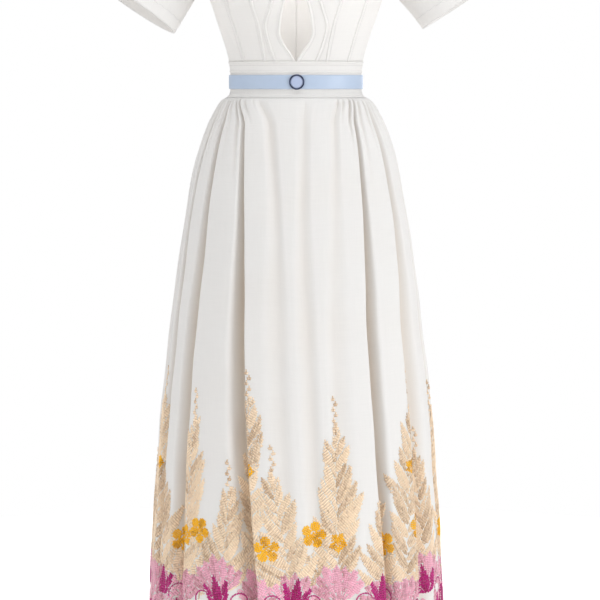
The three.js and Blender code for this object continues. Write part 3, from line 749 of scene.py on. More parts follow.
def crease_depth(points):
    """How far the creases sink the cloth: each is a trough round a straight line, with a raised
    cosine across it and a part of a sine along it."""
    x, y = points[..., 0], points[..., 1]
    rise = points[..., 2] - BELT_LEVEL
    sunk = np.zeros(x.shape)
    for side, facing, start, end, depth, half in CREASES:
        start, end = np.array(start), np.array(end)
        line = end - start
        place = np.stack([side * x, rise], -1) - start
        along = np.clip(place @ line / (line @ line), 0, 1)
        away = np.linalg.norm(place - along[..., None] * line, axis=-1)
        fade = np.sin(np.pi * (CREASE_END + (1 - 2 * CREASE_END) * along))
        trough = bump(away / (half * MM)) * fade
        sunk += np.where(y * facing > 0, depth * MM * trough, 0)
    return sunk


# Each edge stays this far off the seam, so that no two faces lie in one place
SEAM_SLIT = 0.00003
BODICE_ROWS_LOW = 34
BODICE_ROWS_HIGH = 46
# Height and reach of the bodice's slow unevenness
BODICE_UNEVEN = (0.0005, 0.07)
WELT_SQUARENESS = 1.2
# A plain seam sinks by this much, over this width on its one side
SEAM_GROOVE = (0.0006, 0.003)


def bodice_panel(name, sign, start, stop, columns, back=False, welted=True):
    """One panel between two seam lines: its angle runs evenly from one to the other, and its rise
    evenly up to the armpit and by a raised cosine from there to the top edge. Beside the first seam
    it has a welt, a rounded ridge, or else a groove."""
    sizes = bpy.context.scene.gown_sizes
    neck = NECK_BACK if back else NECK_FRONT

    def turn_at(rise, share):
        return start(rise) * (1 - share) + stop(rise) * share

    width = float(torso_half(ARMPIT) * (turn_at(ARMPIT, 1) - turn_at(ARMPIT, 0)))
    slit = SEAM_SLIT / width
    shares = np.linspace(slit, 1 - slit, columns)
    top = top_rises(turn_at, shares, neck)[:, None]
    low = np.linspace(BAND_TOP + SEAM_SLIT, ARMPIT, BODICE_ROWS_LOW, endpoint=False)
    climb = (1 - np.cos(np.pi * np.linspace(0, 1, BODICE_ROWS_HIGH))) / 2
    rise = np.concatenate(
        [np.broadcast_to(low, (columns, len(low))), ARMPIT + (top - ARMPIT) * climb], axis=1)
    turn = turn_at(rise, shares[:, None])
    plain = torso_points(sign, np.pi - turn if back else turn, rise)
    outward = normals_of(plain)
    middle = (columns // 2, BODICE_ROWS_LOW)
    if outward[middle][1] * (1 if back else -1) < 0:
        outward = -outward
    sunk = crease_depth(plain) + uneven(plain, sizes.seed, *BODICE_UNEVEN)
    across = arc_lengths(plain, 0)
    if welted:
        half = sizes.welt_width / 2
        raised = sizes.welt_height * cord((across - half) / half) ** WELT_SQUARENESS
    else:
        raised = -SEAM_GROOVE[0] * bump(across / SEAM_GROOVE[1])
    outer = plain + outward * (raised - sunk)[..., None]
    inner = plain - outward * (sizes.cloth + sunk)[..., None]
    return cloth_wall(name, outer, inner), plain, outward


# Each front strip: its first seam, its last seam and its columns
FRONT_STRIPS = {
    "bodice_front_inner": (seam_turn(KEYHOLE_EDGE), seam_turn(INNER_SEAM), 44),
    "bodice_front_middle": (seam_turn(INNER_SEAM), seam_turn(MIDDLE_SEAM), 36),
    "bodice_front_outer": (seam_turn(MIDDLE_SEAM), seam_turn(OUTER_SEAM), 36),
    "bodice_side_front": (seam_turn(OUTER_SEAM), armhole_turn, 44),
}


# Sleeves


def armhole_points(sign, place):
    """The armhole's edge. place runs from 0 at the armpit up the front to 0.5 and down the back."""
    shares = np.ones(1)
    top = top_rises(lambda rise, share: armhole_turn(rise), shares, NECK_FRONT)[0]
    rise = ARMPIT + (top - ARMPIT) * (1 - np.cos(2 * np.pi * place)) / 2
    turn = armhole_turn(rise)
    return torso_points(sign, np.where(place > 0.5, np.pi - turn, turn), rise)


# Soft folds of a sleeve: place round it, share of the way down, the reach both ways, and the
# depth in millimetres
SLEEVE_FOLDS = [
    (0.10, 0.35, 0.07, 0.45, 3.0),
    (0.23, 0.62, 0.05, 0.50, 1.8),
    (0.36, 0.45, 0.06, 0.40, 1.5),
    (0.90, 0.40, 0.07, 0.45, 3.2),
    (0.76, 0.60, 0.06, 0.50, 2.0),
    (0.64, 0.35, 0.05, 0.35, 1.4),
]
SLEEVE_COLUMNS = 112
SLEEVE_ROWS = 58
# A sleeve starts this far off the armhole, and at each end its curves keep their direction over
# this share of their length. The power tells how fast
# they turn from the arm's way to the shoulder's.
SLEEVE_GAP = 0.0003
SLEEVE_REACH = 0.36
CROWN_POWER = 0.8


def sleeve_grid(sign, out, rise, forward):
    """Cubic curves from the armhole to a tilted ellipse at the cuff. They leave along the arm at
    the armpit, turn to the shoulder's slope towards its top, and arrive along the arm."""
    place = np.arange(SLEEVE_COLUMNS) / SLEEVE_COLUMNS
    angle = 2 * np.pi * place
    axis = np.array([
        sign * math.sin(ARM_LEAN) * math.cos(forward), -math.sin(forward),
        -math.cos(ARM_LEAN) * math.cos(forward)])
    away = np.array([sign * math.cos(ARM_LEAN), 0, math.sin(ARM_LEAN)])
    ahead = np.cross(axis, away)
    ahead = -ahead if ahead[1] > 0 else ahead
    over_shoulder = unit(np.array([sign, 0, -SHOULDER_SLOPE]))
    high = ((1 - np.cos(angle)) / 2) ** CROWN_POWER
    start_way = unit(axis + (over_shoulder - axis) * high[:, None])
    cuff = (
        np.array([sign * out, -CUFF_FORWARD, BELT_LEVEL + rise])
        - CUFF_HALF_WIDTH * np.cos(angle)[:, None] * away
        + CUFF_HALF_DEPTH * np.sin(angle)[:, None] * ahead
    )
    first = armhole_points(sign, place) + start_way * SLEEVE_GAP
    reach = np.linalg.norm(cuff - first, axis=1, keepdims=True) * SLEEVE_REACH
    s = np.linspace(0, 1, SLEEVE_ROWS)[None, :, None]
    a, b = first[:, None], (first + start_way * reach)[:, None]
    c, d = (cuff - axis * reach)[:, None], cuff[:, None]
    return a * (1 - s) ** 3 + 3 * b * s * (1 - s) ** 2 + 3 * c * s * s * (1 - s) + d * s ** 3


# Grooves of a sleeve, each with its depth and reach: where the cuff's hem ends, and at the armhole
CUFF_GROOVE = (0.0006, 0.0016)
ARMHOLE_GROOVE = (0.0008, 0.003)
CUFF_SWELL = 0.0004
# The turned-in cloth of a hem adds this share of the cloth's thickness
CUFF_FOLDED = 0.7


def make_sleeve(side):
    """A sleeve whose soft folds, hem and seam sink its grid by raised cosines."""
    sizes = bpy.context.scene.gown_sizes
    plain = sleeve_grid(**SLEEVES[side])
    outward = normals_of(plain, round_about=True)
    middle = plain.mean(axis=0, keepdims=True)
    if np.einsum("ijk,ijk->", outward, plain - middle) < 0:
        outward = -outward
    place = (np.arange(SLEEVE_COLUMNS) / SLEEVE_COLUMNS)[:, None]
    down = np.linspace(0, 1, SLEEVE_ROWS)[None]
    sunk = np.zeros((SLEEVE_COLUMNS, SLEEVE_ROWS))
    for where, level, wide, long, depth in SLEEVE_FOLDS:
        round_way = np.abs((place - where + 0.5) % 1 - 0.5)
        sunk += depth * MM * bump(round_way / wide) * bump((down - level) / long)
    along = arc_lengths(plain, 1)
    from_cuff = along[:, -1:] - along
    sunk += CUFF_GROOVE[0] * bump((from_cuff - CUFF_HEM) / CUFF_GROOVE[1])
    sunk += ARMHOLE_GROOVE[0] * bump(along / ARMHOLE_GROOVE[1])
    in_hem = from_cuff < CUFF_HEM
    outer = plain + outward * (CUFF_SWELL * in_hem - sunk)[..., None]
    inner = plain - outward * (sunk + sizes.cloth * (1 + CUFF_FOLDED * in_hem))[..., None]
    piece = cloth_wall(f"sleeve_{side}", outer, inner, round_about=True)
    return piece, outer, outward, from_cuff


# Waistband, belt and buckle


def band_grid(first, last, columns, rises, more):
    """Ellipses of the waist between two angles, moved out by a height for each rise."""
    angle = np.linspace(first, last, columns)[:, None]
    half, front, back = (f(rises)[None] + more for f in (torso_half, torso_front, torso_back))
    depth = np.where(np.cos(angle) > 0, front, back)
    z = np.broadcast_to(BELT_LEVEL + rises, (columns, len(rises)))
    return np.stack([half * np.sin(angle), -depth * np.cos(angle), z], axis=-1)


def band_raise(rises):
    """How far the round cords raise the waistband: the highest one counts."""
    raised = np.zeros(len(rises))
    for middle, width, height in BAND_CORDS:
        raised = np.maximum(raised, height * cord((rises - middle) / (width / 2)))
    return raised


BAND_ROWS = 40
# Further rows on each cord, as shares of its half width
CORD_ROWS = (-1, -0.7, -0.35, 0, 0.35, 0.7, 1)


def make_band(name, first, last, columns):
    """A stretch of the waistband, with more rows where its cords are round."""
    sizes = bpy.context.scene.gown_sizes
    edges = [middle + side * wide / 2 for middle, wide, _ in BAND_CORDS for side in CORD_ROWS]
    rises = np.round(np.concatenate([np.linspace(BAND_BOTTOM, BAND_TOP, BAND_ROWS), edges]), 5)
    rises = np.unique(np.clip(rises, BAND_BOTTOM, BAND_TOP))
    outer = band_grid(first, last, columns, rises, band_raise(rises))
    inner = band_grid(first, last, columns, rises, -sizes.cloth)
    return cloth_wall(name, outer, inner)


def squared_oval(count, first_power, second_power):
    """Points round a section, from -1 to 1 both ways: the cosine and the sine of even steps, each
    raised to a power below 1, which flattens the sides."""
    turn = np.linspace(0, 2 * np.pi, count + 1)[:-1]
    return tuple(
        np.sign(wave) * np.abs(wave) ** power
        for wave, power in ((np.cos(turn), first_power), (np.sin(turn), second_power)))


BELT_STANDOFF = 0.0006
BELT_COLUMNS = 200
BELT_SECTION = (24, 0.35, 0.75)


def make_belt():
    """A strap with rounded edges: its section is a flat oval carried round the waist."""
    thick = BELT_FRONT - float(torso_front(0.0)) - BELT_STANDOFF
    outwards, upwards = squared_oval(*BELT_SECTION)
    rises = BELT_WIDTH / 2 * upwards
    more = BELT_STANDOFF + thick * (1 + outwards) / 2
    angle = (2 * np.pi * np.arange(BELT_COLUMNS) / BELT_COLUMNS)[:, None]
    half = torso_half(0.0) + more[None]
    depth = np.where(np.cos(angle) > 0, torso_front(0.0) + more, torso_back(0.0) + more)
    z = np.broadcast_to(BELT_LEVEL + rises, (BELT_COLUMNS, len(rises)))
    grid = np.stack([half * np.sin(angle), -depth * np.cos(angle), z], axis=-1)
    piece = ring_of_sections("belt_strap", grid)
    return finish_piece(piece, material_named("blue_strap"), ["belt"])


def ring_of_sections(name, grid):
    """A closed ring: a grid that runs round both ways."""
    columns, rows = grid.shape[:2]
    i, j = (v.ravel() for v in np.meshgrid(np.arange(columns), np.arange(rows), indexing="ij"))
    a = i * rows + j
    b = (i + 1) % columns * rows + j
    c = (i + 1) % columns * rows + (j + 1) % rows
    d = i * rows + (j + 1) % rows
    faces = np.stack([a, b, c, d], 1)
    points = grid.reshape(-1, 3)
    if signed_volume(points, faces) < 0:
        faces = faces[:, ::-1]
    return new_mesh(name, points, faces)


BUCKLE_BAND = 0.0026
BUCKLE_COLUMNS = 72
BUCKLE_SECTION = (16, 0.8, 0.8)


def make_buckle_ring():
    """A rounded band: a flat oval section turned round the buckle's middle."""
    middle = (BUCKLE_LOW + BUCKLE_HIGH) / 2
    outer_radius = (BUCKLE_HIGH.x - BUCKLE_LOW.x) / 2
    deep = BUCKLE_HIGH.y - BUCKLE_LOW.y
    outwards, forwards = squared_oval(*BUCKLE_SECTION)
    radius = outer_radius + BUCKLE_BAND / 2 * (outwards - 1)
    y = middle.y + deep / 2 * forwards
    angle = (2 * np.pi * np.arange(BUCKLE_COLUMNS) / BUCKLE_COLUMNS)[:, None]
    grid = np.stack(np.broadcast_arrays(
        middle.x + radius * np.cos(angle), y[None], middle.z + radius * np.sin(angle)), axis=-1)
    piece = ring_of_sections("buckle_ring_band", grid)
    return finish_piece(piece, material_named("slate_metal"), ["buckle_ring"])


DISC_SIDES = 64
# The disc's section from its front middle to its rear middle: shares of its radius and thickness
DISC_SECTION = np.array([
    (0, 1), (0.2, 0.99), (0.4, 0.97), (0.6, 0.93), (0.8, 0.86),
    (0.93, 0.74), (1, 0.5), (1, 0.2), (0.9, 0), (0, 0),
])


def make_buckle_disc():
    """A plain disc inside the ring: a low crown with a rounded edge, turned round its middle and
    closed by fans of triangles at its front and rear middles."""
    low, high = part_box("buckle_disc")
    middle = (low + high) / 2
    radius = (high.x - low.x) / 2
    share, lift = DISC_SECTION.T
    angle = (2 * np.pi * np.arange(DISC_SIDES) / DISC_SIDES)[:, None]
    y = high.y - lift * (high.y - low.y)
    ring = share[None] * radius
    grid = np.stack(np.broadcast_arrays(
        middle.x + ring * np.cos(angle), y[None], middle.z + ring * np.sin(angle)), axis=-1)
    points = np.concatenate([grid[:, 1:-1].reshape(-1, 3), grid[:1, 0], grid[:1, -1]])
    rows = grid.shape[1] - 2
    e = np.arange(DISC_SIDES)
    i, j = (v.ravel() for v in np.meshgrid(e, np.arange(rows - 1), indexing="ij"))
    beside = (i + 1) % DISC_SIDES
    a, b, c, d = i * rows + j, beside * rows + j, beside * rows + j + 1, i * rows + j + 1
    walls = np.concatenate([np.stack([a, b, c], 1), np.stack([a, c, d], 1)])
    f = (e + 1) % DISC_SIDES
    front_middle = np.full(DISC_SIDES, DISC_SIDES * rows)
    rear_middle = front_middle + 1
    front = np.stack([front_middle, f * rows, e * rows], 1)
    rear = np.stack([rear_middle, e * rows + rows - 1, f * rows + rows - 1], 1)
    faces = np.concatenate([walls, front, rear])
    if signed_volume(points, faces) < 0:
        faces = faces[:, ::-1]
    piece = new_mesh("buckle_disc_enamel", points, faces)
    return finish_piece(
        piece, material_named("lilac_enamel"), ["buckle_disc"])


# Skirt


FOLD_ANGLES = [curve_of(FOLD_LEVELS, np.radians(angles)) for angles, _, _, _ in FOLDS]
FOLD_DEPTHS = [curve_of(FOLD_LEVELS, np.array(depths) * MM) for _, depths, _, _ in FOLDS]
FOLD_BEFORE = np.array([before for _, _, before, _ in FOLDS])
FOLD_AFTER = np.array([after for _, _, _, after in FOLDS])


def pick(values, index):
    """From one array for each fold, the one of each point's fold."""
    return np.take_along_axis(values, index[None], axis=0)[0]


GATHER_SHARPNESS = 3.5
# Gathers between two valleys
GATHERS = 3
# Each gather's depth and length, as shares of the usual ones, lie between these two
GATHER_DEPTHS = (0.5, 1.25)
GATHER_LENGTHS = (0.6, 1.35)
GATHER_FADE = 1.2
# Round the front centre the gathers keep this share of their depth up to the first angle, in
# degrees, and have all of it from the second one on
FLAT_FRONT = (0.12, 30.0, 38.0)
# Height and reach of the skirt's slow unevenness
SKIRT_UNEVEN = (0.0016, 0.16)
SKIRT_TOP_DROP = SEAM_SLIT - BAND_BOTTOM
# The seam under the waistband holds the cloth: its share of the depth there, how far it stands out
# to lie level with the cord above it, and the length over which it comes to its full depth
SEWN_DEPTH = 0.2
SEWN_LIFT = 0.0010
SEWN_LENGTH = 0.012


def skirt_form(column, drop):
    """The skirt's plain ellipse, its outward direction, and how deep the cloth lies under it. A
    column is the number of the valley before it and the share of the way to the next one: between
    the valleys the angle runs evenly, and each valley sinks by its depth with a raised cosine.
    Short gathers under the waistband are a sharpened cosine that turns once for every two
    stations and fades downwards, each with its own depth and length. At the seam itself all of
    it is shallow."""
    sizes = bpy.context.scene.gown_sizes
    column, drop = np.broadcast_arrays(column, drop)
    whole = np.floor(column).astype(int)
    share = column - whole
    laps, here = np.divmod(whole, FOLD_COUNT)
    after = (here + 1) % FOLD_COUNT
    angles = np.stack([curve(drop) for curve in FOLD_ANGLES])
    depths = np.stack([curve(drop) for curve in FOLD_DEPTHS])
    first = pick(angles, here) + 2 * np.pi * laps
    last = pick(angles, after) + 2 * np.pi * (laps + (after == 0))
    angle = first * (1 - share) + last * share
    half = skirt_half(drop)
    depth = np.where(np.cos(angle) > 0, skirt_front_depth(drop), skirt_back_depth(drop))
    least, start, full = NARROW_FOLDS
    widening = np.clip((drop - start) / (full - start), 0, 1)
    wide = 0.5 * (least + (1 - least) * widening * widening * (3 - 2 * widening))
    sunk = (
        pick(depths, here) * bump(share / (wide * FOLD_AFTER[here]))
        + pick(depths, after) * bump((1 - share) / (wide * FOLD_BEFORE[after]))
    )
    draw = np.random.default_rng(sizes.seed)
    turns = np.interp(share, STATIONS, np.arange(len(STATIONS)) / 2)
    all_round = GATHERS * FOLD_COUNT
    which = (here * GATHERS + np.round(turns).astype(int)) % all_round
    depth_of = draw.uniform(*GATHER_DEPTHS, all_round)[which]
    length_of = sizes.gather_length * draw.uniform(*GATHER_LENGTHS, all_round)[which]
    # They keep their depth down to a drop that equals the rise of the waistband's top
    fade = np.clip(1 - (drop - BAND_TOP) / length_of, 0, 1) ** GATHER_FADE
    degrees = np.degrees((angle + np.pi) % (2 * np.pi) - np.pi)
    least, start, full = FLAT_FRONT
    flat = least + (1 - least) * np.clip((np.abs(degrees) - start) / (full - start), 0, 1)
    wave = ((1 + np.cos(2 * np.pi * turns)) / 2) ** GATHER_SHARPNESS
    sunk = sunk + sizes.gather_depth * depth_of * flat * fade * wave
    away = np.stack([np.sin(angle) / half, -np.cos(angle) / depth, np.zeros(angle.shape)], -1)
    middle = np.stack([half * np.sin(angle), -depth * np.cos(angle), BELT_LEVEL - drop], -1)
    loose = bump(1 - np.clip((drop - SKIRT_TOP_DROP) / SEWN_LENGTH, 0, 1))
    sunk = sunk - uneven(middle, sizes.seed + 3, *SKIRT_UNEVEN)
    sunk = sunk * (SEWN_DEPTH + (1 - SEWN_DEPTH) * loose) - SEWN_LIFT * (1 - loose)
    return middle, unit(away), sunk


def skirt_points(column, drop):
    """The skirt's outer surface."""
    middle, away, sunk = skirt_form(column, drop)
    return middle - away * sunk[..., None]


# Of the levels' steps, this share is even, and the rest grows with this power
LEVEL_STEPS = (0.25, 1.7)


def skirt_drops(rows):
    """Levels that lie close together under the waistband and wider apart below."""
    share = np.linspace(0, 1, rows)
    even, power = LEVEL_STEPS
    eased = even * share + (1 - even) * share ** power
    return SKIRT_TOP_DROP + (HEM_DROP - SKIRT_TOP_DROP) * eased


HEM_TURN_UP = 0.030
# Depth and reach of the groove over the hem, and what the turned-up cloth adds of its thickness
HEM_GROOVE = (0.0006, 0.002)
HEM_FOLDED = 0.8
# About as wide as the cloth is between two valleys
COLUMN_WIDTH = 0.1
# How far the columns crowd at the valleys, and the points of the table that moves them
VALLEY_CROWDING = 0.6
COLUMN_TABLE = 4001
# From this depth on the cloth has its full painted shade, darker and warmer
DEEPEST_PAINTED_SHADE = 0.028


def skirt_columns(first, last, count):
    """Columns that crowd at the valleys: even steps u, moved by a sine to
    u - crowding * sin(2 pi u) / (2 pi)."""
    even = np.linspace(np.floor(first), np.ceil(last), COLUMN_TABLE)
    moved = even - VALLEY_CROWDING * np.sin(2 * np.pi * even) / (2 * np.pi)
    ends = np.interp([first, last], moved, even)
    return np.interp(np.linspace(*ends, count), even, moved)


def make_skirt_panel(name, first, last, columns, rows):
    """A panel of the skirt's form between two seams, thicker where the hem is turned up, with a
    groove over the hem. Its tones tell how deep the cloth lies, and paint shade into its folds."""
    sizes = bpy.context.scene.gown_sizes
    slit = SEAM_SLIT / COLUMN_WIDTH
    column = skirt_columns(first + slit, last - slit, columns)[:, None]
    drop = skirt_drops(rows)[None]
    middle, away, sunk = skirt_form(column, drop)
    plain = middle - away * sunk[..., None]
    outward = -normals_of(plain)
    over_hem = HEM_DROP - drop - HEM_TURN_UP
    seam_line = HEM_GROOVE[0] * bump(over_hem / HEM_GROOVE[1])
    folded = sizes.cloth * (1 + HEM_FOLDED * (over_hem < 0))
    outer = plain - outward * seam_line[..., None]
    inner = plain - outward * (seam_line + folded)[..., None]
    # Painted shade: the tones make the cloth darker and warmer where it lies deep in a fold
    return cloth_wall(name, outer, inner, tones=np.clip(sunk / DEEPEST_PAINTED_SHADE, 0, 1))


# Hem border


# Motifs lie on the flat cloth, by their distance along the hem and their height over it, in a
# plain repeat of fern sprays, round blossoms, fans and three-leaf sprigs.

# Colours in their order, with each one's bead length, width and sides
BEADS = {
    "sand": (0.0048, 0.0025, 4),
    "pink": (0.0044, 0.0036, 4),
    "amber": (0.0036, 0.0036, 5),
    "magenta": (0.0048, 0.0027, 4),
}
BEAD_HEIGHT = 0.0016
# Each bead turns by a draw of this spread, and its size is a share between these two
BEAD_TURN = 0.12
BEAD_SCALES = (0.9, 1.12)
SPRAY_REPEATS = 6
# Each spray's height is a share between these two of its usual one, and its lean has this spread
SPRAY_HEIGHTS = (0.93, 1.06)
SPRAY_LEAN = 0.04
# A spray of the repeat: its height, its lean and the height of its root
SPRAYS = [(0.365, 0.05, 0.170), (0.225, -0.10, 0.160), (0.300, 0.07, 0.175), (0.190, 0.10, 0.155)]
# Up the stem, as shares of the spray's height: the tip leaf's root and the last leaflet's root
STEM_TIP, STEM_END = 0.86, 0.9
TIP_LEAF = (0.042, 0.012)
TIP_DOT = (0.0094, 0.0052)
# The dots over the tip: how many, the first one's distance, their step and their swing
TIP_DOTS, DOT_START, DOT_STEP, DOT_SWING = 5, 0.040, 0.0095, 0.0025
LEAFLET_STEP = 0.029
LEAFLET = 0.068
# Ranges of a leaflet's place, length, spread and bend
LEAFLET_SHIFTS = (-0.12, 0.12)
LEAFLET_LENGTHS = (0.72, 1.22)
LEAFLET_SPREADS = (0.8, 1.2)
LEAFLET_BENDS = (0.05, 0.3)

# A leaf: the power by which its broadest part lies near its base or its tip, its bluntness, the
# steps of its beads as shares of their size along and across it, how far they reach over its edge
# as a share of their width, and their slant
POINTED, ROUNDED = 0.7, 1.7
BLUNTNESS = 0.75
ALONG_STEP, ACROSS_STEP = 0.92, 0.98
OVER_EDGE = 0.25
BEAD_SLANT = 0.42
# A leaf's own tone lies between these two. A half, the tip and the middle row add to it.
LEAF_TONES = (0.22, 0.72)
HALF_TONE, TIP_TONE, MIDDLE_TONE = 0.09, 0.14, -0.15
TONE_SPREAD = 0.13

# A curl: the mean share of its radius, and the mean and spread of its tones
CURL_REACH = 0.83
CURL_TONES = (0.45, 0.08)
# A blossom: its petals, their width as a share of their length, and the radius of its ring
PETALS = 5
PETAL_WIDTH = 0.68
BLOSSOM_RING = 0.0035
# A fan: how much shorter the outer blades are, the range of lengths, their overlap and their bend
FAN_ROUNDNESS = 0.2
FAN_LENGTHS = (0.9, 1.06)
FAN_OVERLAP = 2.1
FAN_BEND = 0.15
# A sprig: the spread, middle length, width and bend of its leaves, and its curls' distance, turn,
# rise, radius, start and sweep
SPRIG_LEAVES = (0.8, 1.15, 0.36, 0.25)
SPRIG_CURLS = (0.9, 1.9, 0.1, 0.42, 1.8, 4.4)

# Beads lower than this would hang over the hem
HEM_MARGIN = 0.004
OWNER_CELL = 0.0016


class Border:
    """Leaves of beads on the flat cloth, each laid over the ones before it."""

    def __init__(self, seed):
        self.draw = np.random.default_rng(seed)
        self.parts = []

    def lay(self, colour, place, lean, tone):
        """Adds beads: place, lean, tone, the number of their leaf and their colour's number."""
        number = np.full(len(place), len(self.parts) + 1)
        kind = np.full(len(place), list(BEADS).index(colour))
        self.parts.append(np.column_stack([place, lean, tone, number, kind]))

    def leaf(self, colour, base, heading, length, width, bend=0.0, form=POINTED):
        """Rows of beads fill a leaf. Its middle line leaves the base at a heading from upright
        and bends by a parabola, its half width is a sine skewed to the base or the tip, and the
        beads slant away from the middle line. One half of it is a little lighter."""
        long, wide, _ = BEADS[colour]
        along = np.arange(long / 2, length, long * ALONG_STEP)
        rows = int(np.ceil(width / wide)) | 1
        across = (np.arange(rows) - rows // 2) * wide * ACROSS_STEP
        t, v = (grid.ravel() for grid in np.meshgrid(along / length, across, indexing="ij"))
        edge = width / 2 * np.sin(np.pi * t ** form) ** BLUNTNESS + wide * OVER_EDGE
        inside = np.abs(v) <= edge
        t, v = t[inside], v[inside]
        side = np.sign(np.round(v / wide))
        forward = np.array([math.sin(heading), math.cos(heading)])
        aside = np.array([math.cos(heading), -math.sin(heading)])
        place = base + np.outer(t * length, forward) + np.outer(v + bend * length * t * t, aside)
        lean = heading + np.arctan(2 * bend * t) + BEAD_SLANT * side
        tone = self.draw.uniform(*LEAF_TONES) + HALF_TONE * side + TIP_TONE * (t - 0.5)
        tone = tone + self.draw.normal(0, TONE_SPREAD, len(t)) + MIDDLE_TONE * (side == 0)
        self.lay(colour, place, lean, tone)

    def curl(self, colour, middle, radius, start, sweep):
        """One row of beads along an arc that tightens by a third."""
        count = max(3, round(radius * CURL_REACH * abs(sweep) / BEADS[colour][0]))
        t = np.arange(count) / (count - 1)
        turn = start + sweep * t
        reach = (radius * (1 - t / 3))[:, None]
        place = middle + reach * np.column_stack([np.sin(turn), np.cos(turn)])
        lean = turn + math.pi / 2 * np.sign(sweep)
        self.lay(colour, place, lean, self.draw.normal(*CURL_TONES, count))

    def spray(self, root, height, lean):
        """A stem with leaflets on both sides and a dotted tip. Up the stem a leaflet's length
        follows a sine over a least length and shrinks evenly, and its spread shrinks evenly."""
        count = round(height / LEAFLET_STEP)
        way = np.array([math.sin(lean), math.cos(lean)])
        top = root + height * STEM_TIP * way
        for k in range(TIP_DOTS):
            shift = np.array([DOT_SWING * (1 if k % 2 else -1), DOT_START + DOT_STEP * k])
            self.leaf("sand", top + shift, lean, *TIP_DOT)
        self.leaf("sand", top, lean, *TIP_LEAF)
        for k in reversed(range(count)):
            for side in (-1, 1):
                t = (k + 0.25 + 0.5 * (side > 0) + self.draw.uniform(*LEAFLET_SHIFTS)) / count
                long = LEAFLET * (0.5 + 0.72 * math.sin(math.pi * (0.2 + 0.75 * t)))
                long = long * (1 - 0.3 * t) * self.draw.uniform(*LEAFLET_LENGTHS)
                spread = (0.95 - 0.5 * t) * self.draw.uniform(*LEAFLET_SPREADS)
                bend = -side * self.draw.uniform(*LEAFLET_BENDS)
                foot = root + height * STEM_END * t * way
                self.leaf("sand", foot, lean + side * spread, long, 0.003 + 0.25 * long, bend)

    def blossom(self, middle, radius, turn):
        """Five rounded amber petals out from the middle, and a bead ring in it."""
        for k in range(PETALS):
            heading = turn + 2 * math.pi * k / PETALS
            self.leaf("amber", middle, heading, radius, radius * PETAL_WIDTH, 0.0, ROUNDED)
        self.curl("amber", middle, BLOSSOM_RING, 0.0, 2 * math.pi)

    def fan(self, colour, root, radius, blades, spread, turn=0.0):
        """Broad round-ended leaves side by side from one root."""
        for k in sorted(range(blades), key=lambda blade: -abs(2 * blade + 1 - blades)):
            share = 2 * (k + 0.5) / blades - 1
            long = radius * (1 - FAN_ROUNDNESS * share * share) * self.draw.uniform(*FAN_LENGTHS)
            wide = FAN_OVERLAP * spread * radius / blades
            self.leaf(
                colour, root, turn + spread * share, long, wide, FAN_BEND * share, ROUNDED)

    def sprig(self, root, size, turn):
        """Three magenta leaves on one root with a curl on each side."""
        spread, longest, width, bend = SPRIG_LEAVES
        for share in (-1, 1, 0):
            long = size * (1 if share else longest)
            self.leaf("magenta", root, turn + spread * share, long, width * size, -bend * share)
        out, aside, rise, radius, start, sweep = SPRIG_CURLS
        for share in (-1, 1):
            middle = root + size * out * np.array([math.sin(turn + aside * share), rise])
            self.curl("magenta", middle, size * radius, -start * share, sweep * share)

    def laid(self, width):
        """The beads that stay in sight: a fine grid keeps the last leaf over each cell, and a
        bead whose own cell belongs to a later leaf is left out."""
        beads = np.concatenate(self.parts)
        beads = beads[beads[:, 1] > HEM_MARGIN]
        i = np.floor(beads[:, 0] % width / OWNER_CELL).astype(int)
        j = np.floor(beads[:, 1] / OWNER_CELL).astype(int)
        across = int(np.ceil(width / OWNER_CELL))
        owner = np.zeros((across, j.max() + 3))
        for di in (-1, 0, 1):
            for dj in (-1, 0, 1):
                np.maximum.at(owner, ((i + di) % across, j + 1 + dj), beads[:, 4])
        return beads[owner[i, j + 1] == beads[:, 4]]


def fill_border(border, width):
    """Lays the whole border, from its back to its front, in rows of even steps along the hem."""
    count = SPRAY_REPEATS * len(SPRAYS)
    step = width / count
    places = [(k, (k + 0.5) * step) for k in range(count)]

    def between(along, rise):
        return np.array([along + 0.5 * step, rise])

    for k, along in places:
        if k % 3:
            border.fan("sand", between(along, 0.150), radius=0.095, blades=6, spread=0.75)
    for k, along in sorted(places, key=lambda place: -SPRAYS[place[0] % len(SPRAYS)][0]):
        height, lean, root = SPRAYS[k % len(SPRAYS)]
        height = height * border.draw.uniform(*SPRAY_HEIGHTS)
        lean = lean + border.draw.normal(0, SPRAY_LEAN)
        border.spray(np.array([along, root]), height, lean)
        if k % 4 == 0:
            middle = np.array([along + 0.6 * height * lean, root + 0.6 * height])
            border.blossom(middle, radius=0.013, turn=0.4)
        if k % 4 == 2:
            middle = np.array([along + 0.25 * height * lean, root + 0.28 * height])
            border.blossom(middle, radius=0.019, turn=0.1 * k)
    for k, along in places:
        root = np.array([along, border.draw.uniform(0.116, 0.164)])
        turn = border.draw.uniform(-0.2, 0.2)
        border.fan("pink", root, radius=0.074, blades=7, spread=0.92, turn=turn)
        if k % 3:
            border.blossom(between(along, 0.222 + 0.026 * (k % 3)), radius=0.024, turn=0.3 * k)
    for k, along in places:
        border.fan("pink", between(along, 0.080), radius=0.068, blades=7, spread=0.95)
        if k % 2:
            border.sprig(np.array([along, 0.146]), size=0.046, turn=0.2 * (k % 3 - 1))
    for k, along in places:
        border.fan("pink", np.array([along, 0.034]), radius=0.062, blades=7, spread=1.0)
        border.sprig(between(along, 0.096), size=0.044, turn=0.35 * (1 if k % 2 else -1))
        border.leaf("magenta", np.array([along, 0.052]), heading=0.0, length=0.032, width=0.013)
    for k, along in places:
        border.fan("pink", between(along, 0.004), radius=0.046, blades=5, spread=1.2)
        border.curl("magenta", between(along, 0.012), radius=0.014, start=-1.2, sweep=2.4)


# The hem cloth is measured at this height over the hem, by this many points. Its ways up and aside
# are taken over this small step of the drop and of the column.
MEASURED_RISE = 0.16
MEASURING_POINTS = 6001
SMALL_STEP = 0.002


